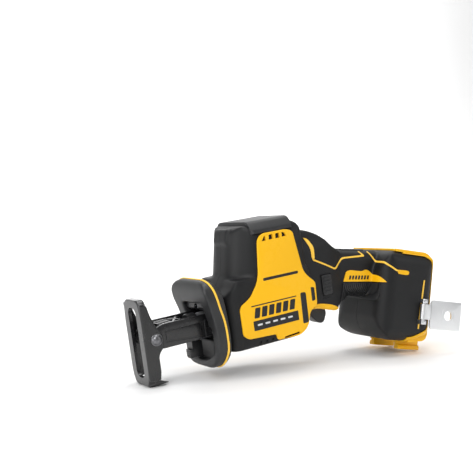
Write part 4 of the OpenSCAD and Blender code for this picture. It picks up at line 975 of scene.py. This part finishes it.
fit(placed(merge("hang_pin", pin_parts), FOOT), "tool", bright_steel, "bright_steel", "hook_pin")


# %% [markdown]
# ## Screws
# The halves are closed from the right by star-socket screws, and small ones hold the bracket and gear case.

# %% Screws
def screw(name, at, axis, turn, head_low, shank_low, head=3.0, height=2.0, shank=1.55):
    """A pan-head screw with a star socket, its head's seat at head_low along the axis."""
    top = head_low + height
    body = lathe(name, [(0, top), (head * 0.6, top - 0.05), (head * 0.9, top - 0.45), (head, top - 1),
                        (head, head_low), (shank, head_low),
                        (shank, shank_low + 0.8), (shank * 0.5, shank_low), (0, shank_low)],
                 at, axis, turn, 36)
    star = []
    for k in range(12):
        radius = head * (0.52 if k % 2 == 0 else 0.36)
        star.append((radius * math.cos(math.pi * k / 6), radius * math.sin(math.pi * k / 6)))
    x, _, z = at
    if axis == "Y":
        low, high = sorted((turn * (top - 1.1), turn * (top + 1)))
        socket = plate("s", [(x + a, z + b, 0.25) for a, b in star], "side", low, high)
    else:
        socket = plate("s", [(x + a, at[1] + b, 0.25) for a, b in star], "top", at[2] + top - 1.1, at[2] + top + 1)
    return combine(body, [socket], CUT)


for index, (x, z, half) in enumerate(SCREWS):
    fit(screw(f"case_fixing_{index + 1}", (x, 0, z), "Y", 1, half - HEAD_SUNK, 7 - half), "tool", bright_steel,
        "bright_steel", f"housing_screw_{index + 1}")
for label, turn in SIDES:
    fit(screw("bracket_fixing_" + label, (70.4, 0, 0), "Y", turn, 15.2, 8.9, 3.0, 1.6), "tool", bright_steel,
        "bright_steel", "bracket_screw_" + label)
for index in range(4):
    low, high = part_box(f"case_screw_{index + 1}")
    middle = (low + high) / 2 / MM
    fit(screw(f"lid_fixing_{index + 1}", (middle.x, middle.y, low.z / MM), "Z", 1, 12, 0, 2.8, 2.0, 1.5), "tool",
        bright_steel, "bright_steel", f"case_screw_{index + 1}")

# %% [markdown]
# ## Drive train
# The parts inside keep their CAD shapes, because teeth, bores and slots have to stay exact. Each gets the finish
# of its real material: cast alloy, sintered steel, bronze, laminated iron and wound copper.

# %% Finishes of the inner parts
INNER_FINISHES = [
    (gear_alloy, "gear_case gear_case_cover"),
    (bush_bronze, "front_bush rear_bush crank_roller"),
    (grip_rubber, "spindle_seal"),
    (motor_steel, "stator_core rotor_core"),
    (coil_copper, "stator_coils"),
    (gear_steel, "lower_bearing upper_bearing crank_gear"),
    (black_nylon, "bearing_holder fan control_module switch_body"),
    (bright_steel, "rotor_shaft spindle clamp_pin trigger_pin trigger_spring"),
]
INNER = {name: material for material, names in INNER_FINISHES for name in names.split()}
for name, material in INNER.items():
    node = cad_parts[name]
    node.data.materials.clear()
    node.data.materials.append(material)
left_over = [n for n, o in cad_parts.items() if n not in INNER and not o.hide_render]
print("inner parts", len(INNER), "left over", left_over)
bpy.data.objects.remove(body_form)

# %% [markdown]
# ## Floor and light
# The saw leans on its shoe and its battery rails, so the floor is tilted under it. Broad soft lights keep black
# rubber readable: a key from the front left, one overhead, a fill from the right, a low one in front and a
# wide one on the backdrop.

# %% Stage
lean = math.radians(7.05)
backdrop_bm = bmesh.new()
bmesh.ops.create_grid(backdrop_bm, x_segments=1, y_segments=1, size=1)
bmesh.ops.scale(backdrop_bm, vec=(4, 2.2, 1), verts=backdrop_bm.verts)
far_edge = [e for e in backdrop_bm.edges if all(v.co.y > 2.1 for v in e.verts)]
wall = bmesh.ops.extrude_edge_only(backdrop_bm, edges=far_edge)
bmesh.ops.translate(backdrop_bm, vec=(0, 0, 4), verts=[g for g in wall["geom"] if isinstance(g, bmesh.types.BMVert)])
fold = [e for e in backdrop_bm.edges if len(e.link_faces) == 2]
bmesh.ops.bevel(backdrop_bm, geom=fold, offset=1.2, affect="EDGES", segments=24, profile=0.5, material=-1)
backdrop = link("backdrop", backdrop_bm)
backdrop.data.transform(Matrix.Translation(Vector((150, 0, -57.8)) * MM) @ Matrix.Rotation(lean, 4, "Y"))
paper = finish("paper", (0.9, 0.9, 0.9), (0.88, 0.88, 0.88), (0.92, 0.92, 0.92), 0.6, grain=300, bump=0.02, wear=0.0,
               mottle=0.2, specular=0.2)
backdrop.data.materials.append(paper)
smooth(backdrop, 60)


def soft_light(name, at, size, power, aim=(0.15, 0, 0.02)):
    """A square area light that faces a point."""
    data = bpy.data.lights.new(name, "AREA")
    data.size = size
    data.energy = power
    lamp = bpy.data.objects.new(name, data)
    lamp.location = at
    lamp.rotation_euler = (Vector(aim) - Vector(at)).to_track_quat("-Z", "Y").to_euler()
    bpy.context.scene.collection.objects.link(lamp)
    return lamp


soft_light("key", (-0.55, -0.75, 0.75), 0.45, 7)
soft_light("overhead", (0.15, -0.1, 1.1), 0.7, 6)
soft_light("fill", (0.95, -0.8, 0.35), 0.6, 2)
soft_light("front", (-0.8, 0.0, 0.25), 0.5, 3)
soft_light("backdrop_light", (1.2, 0.6, 1.6), 1.6, 60, aim=(1.4, 2.1, 0.6))
world = bpy.data.worlds.new("studio")
world.use_nodes = True
world.node_tree.nodes["Background"].inputs["Color"].default_value = (1, 1, 1, 1)
world.node_tree.nodes["Background"].inputs["Strength"].default_value = 0.28
# The plain transform keeps the yellow as pure as its paint
bpy.context.scene.view_settings.view_transform = "Standard"
bpy.context.scene.world = world
print("pieces", len(made))
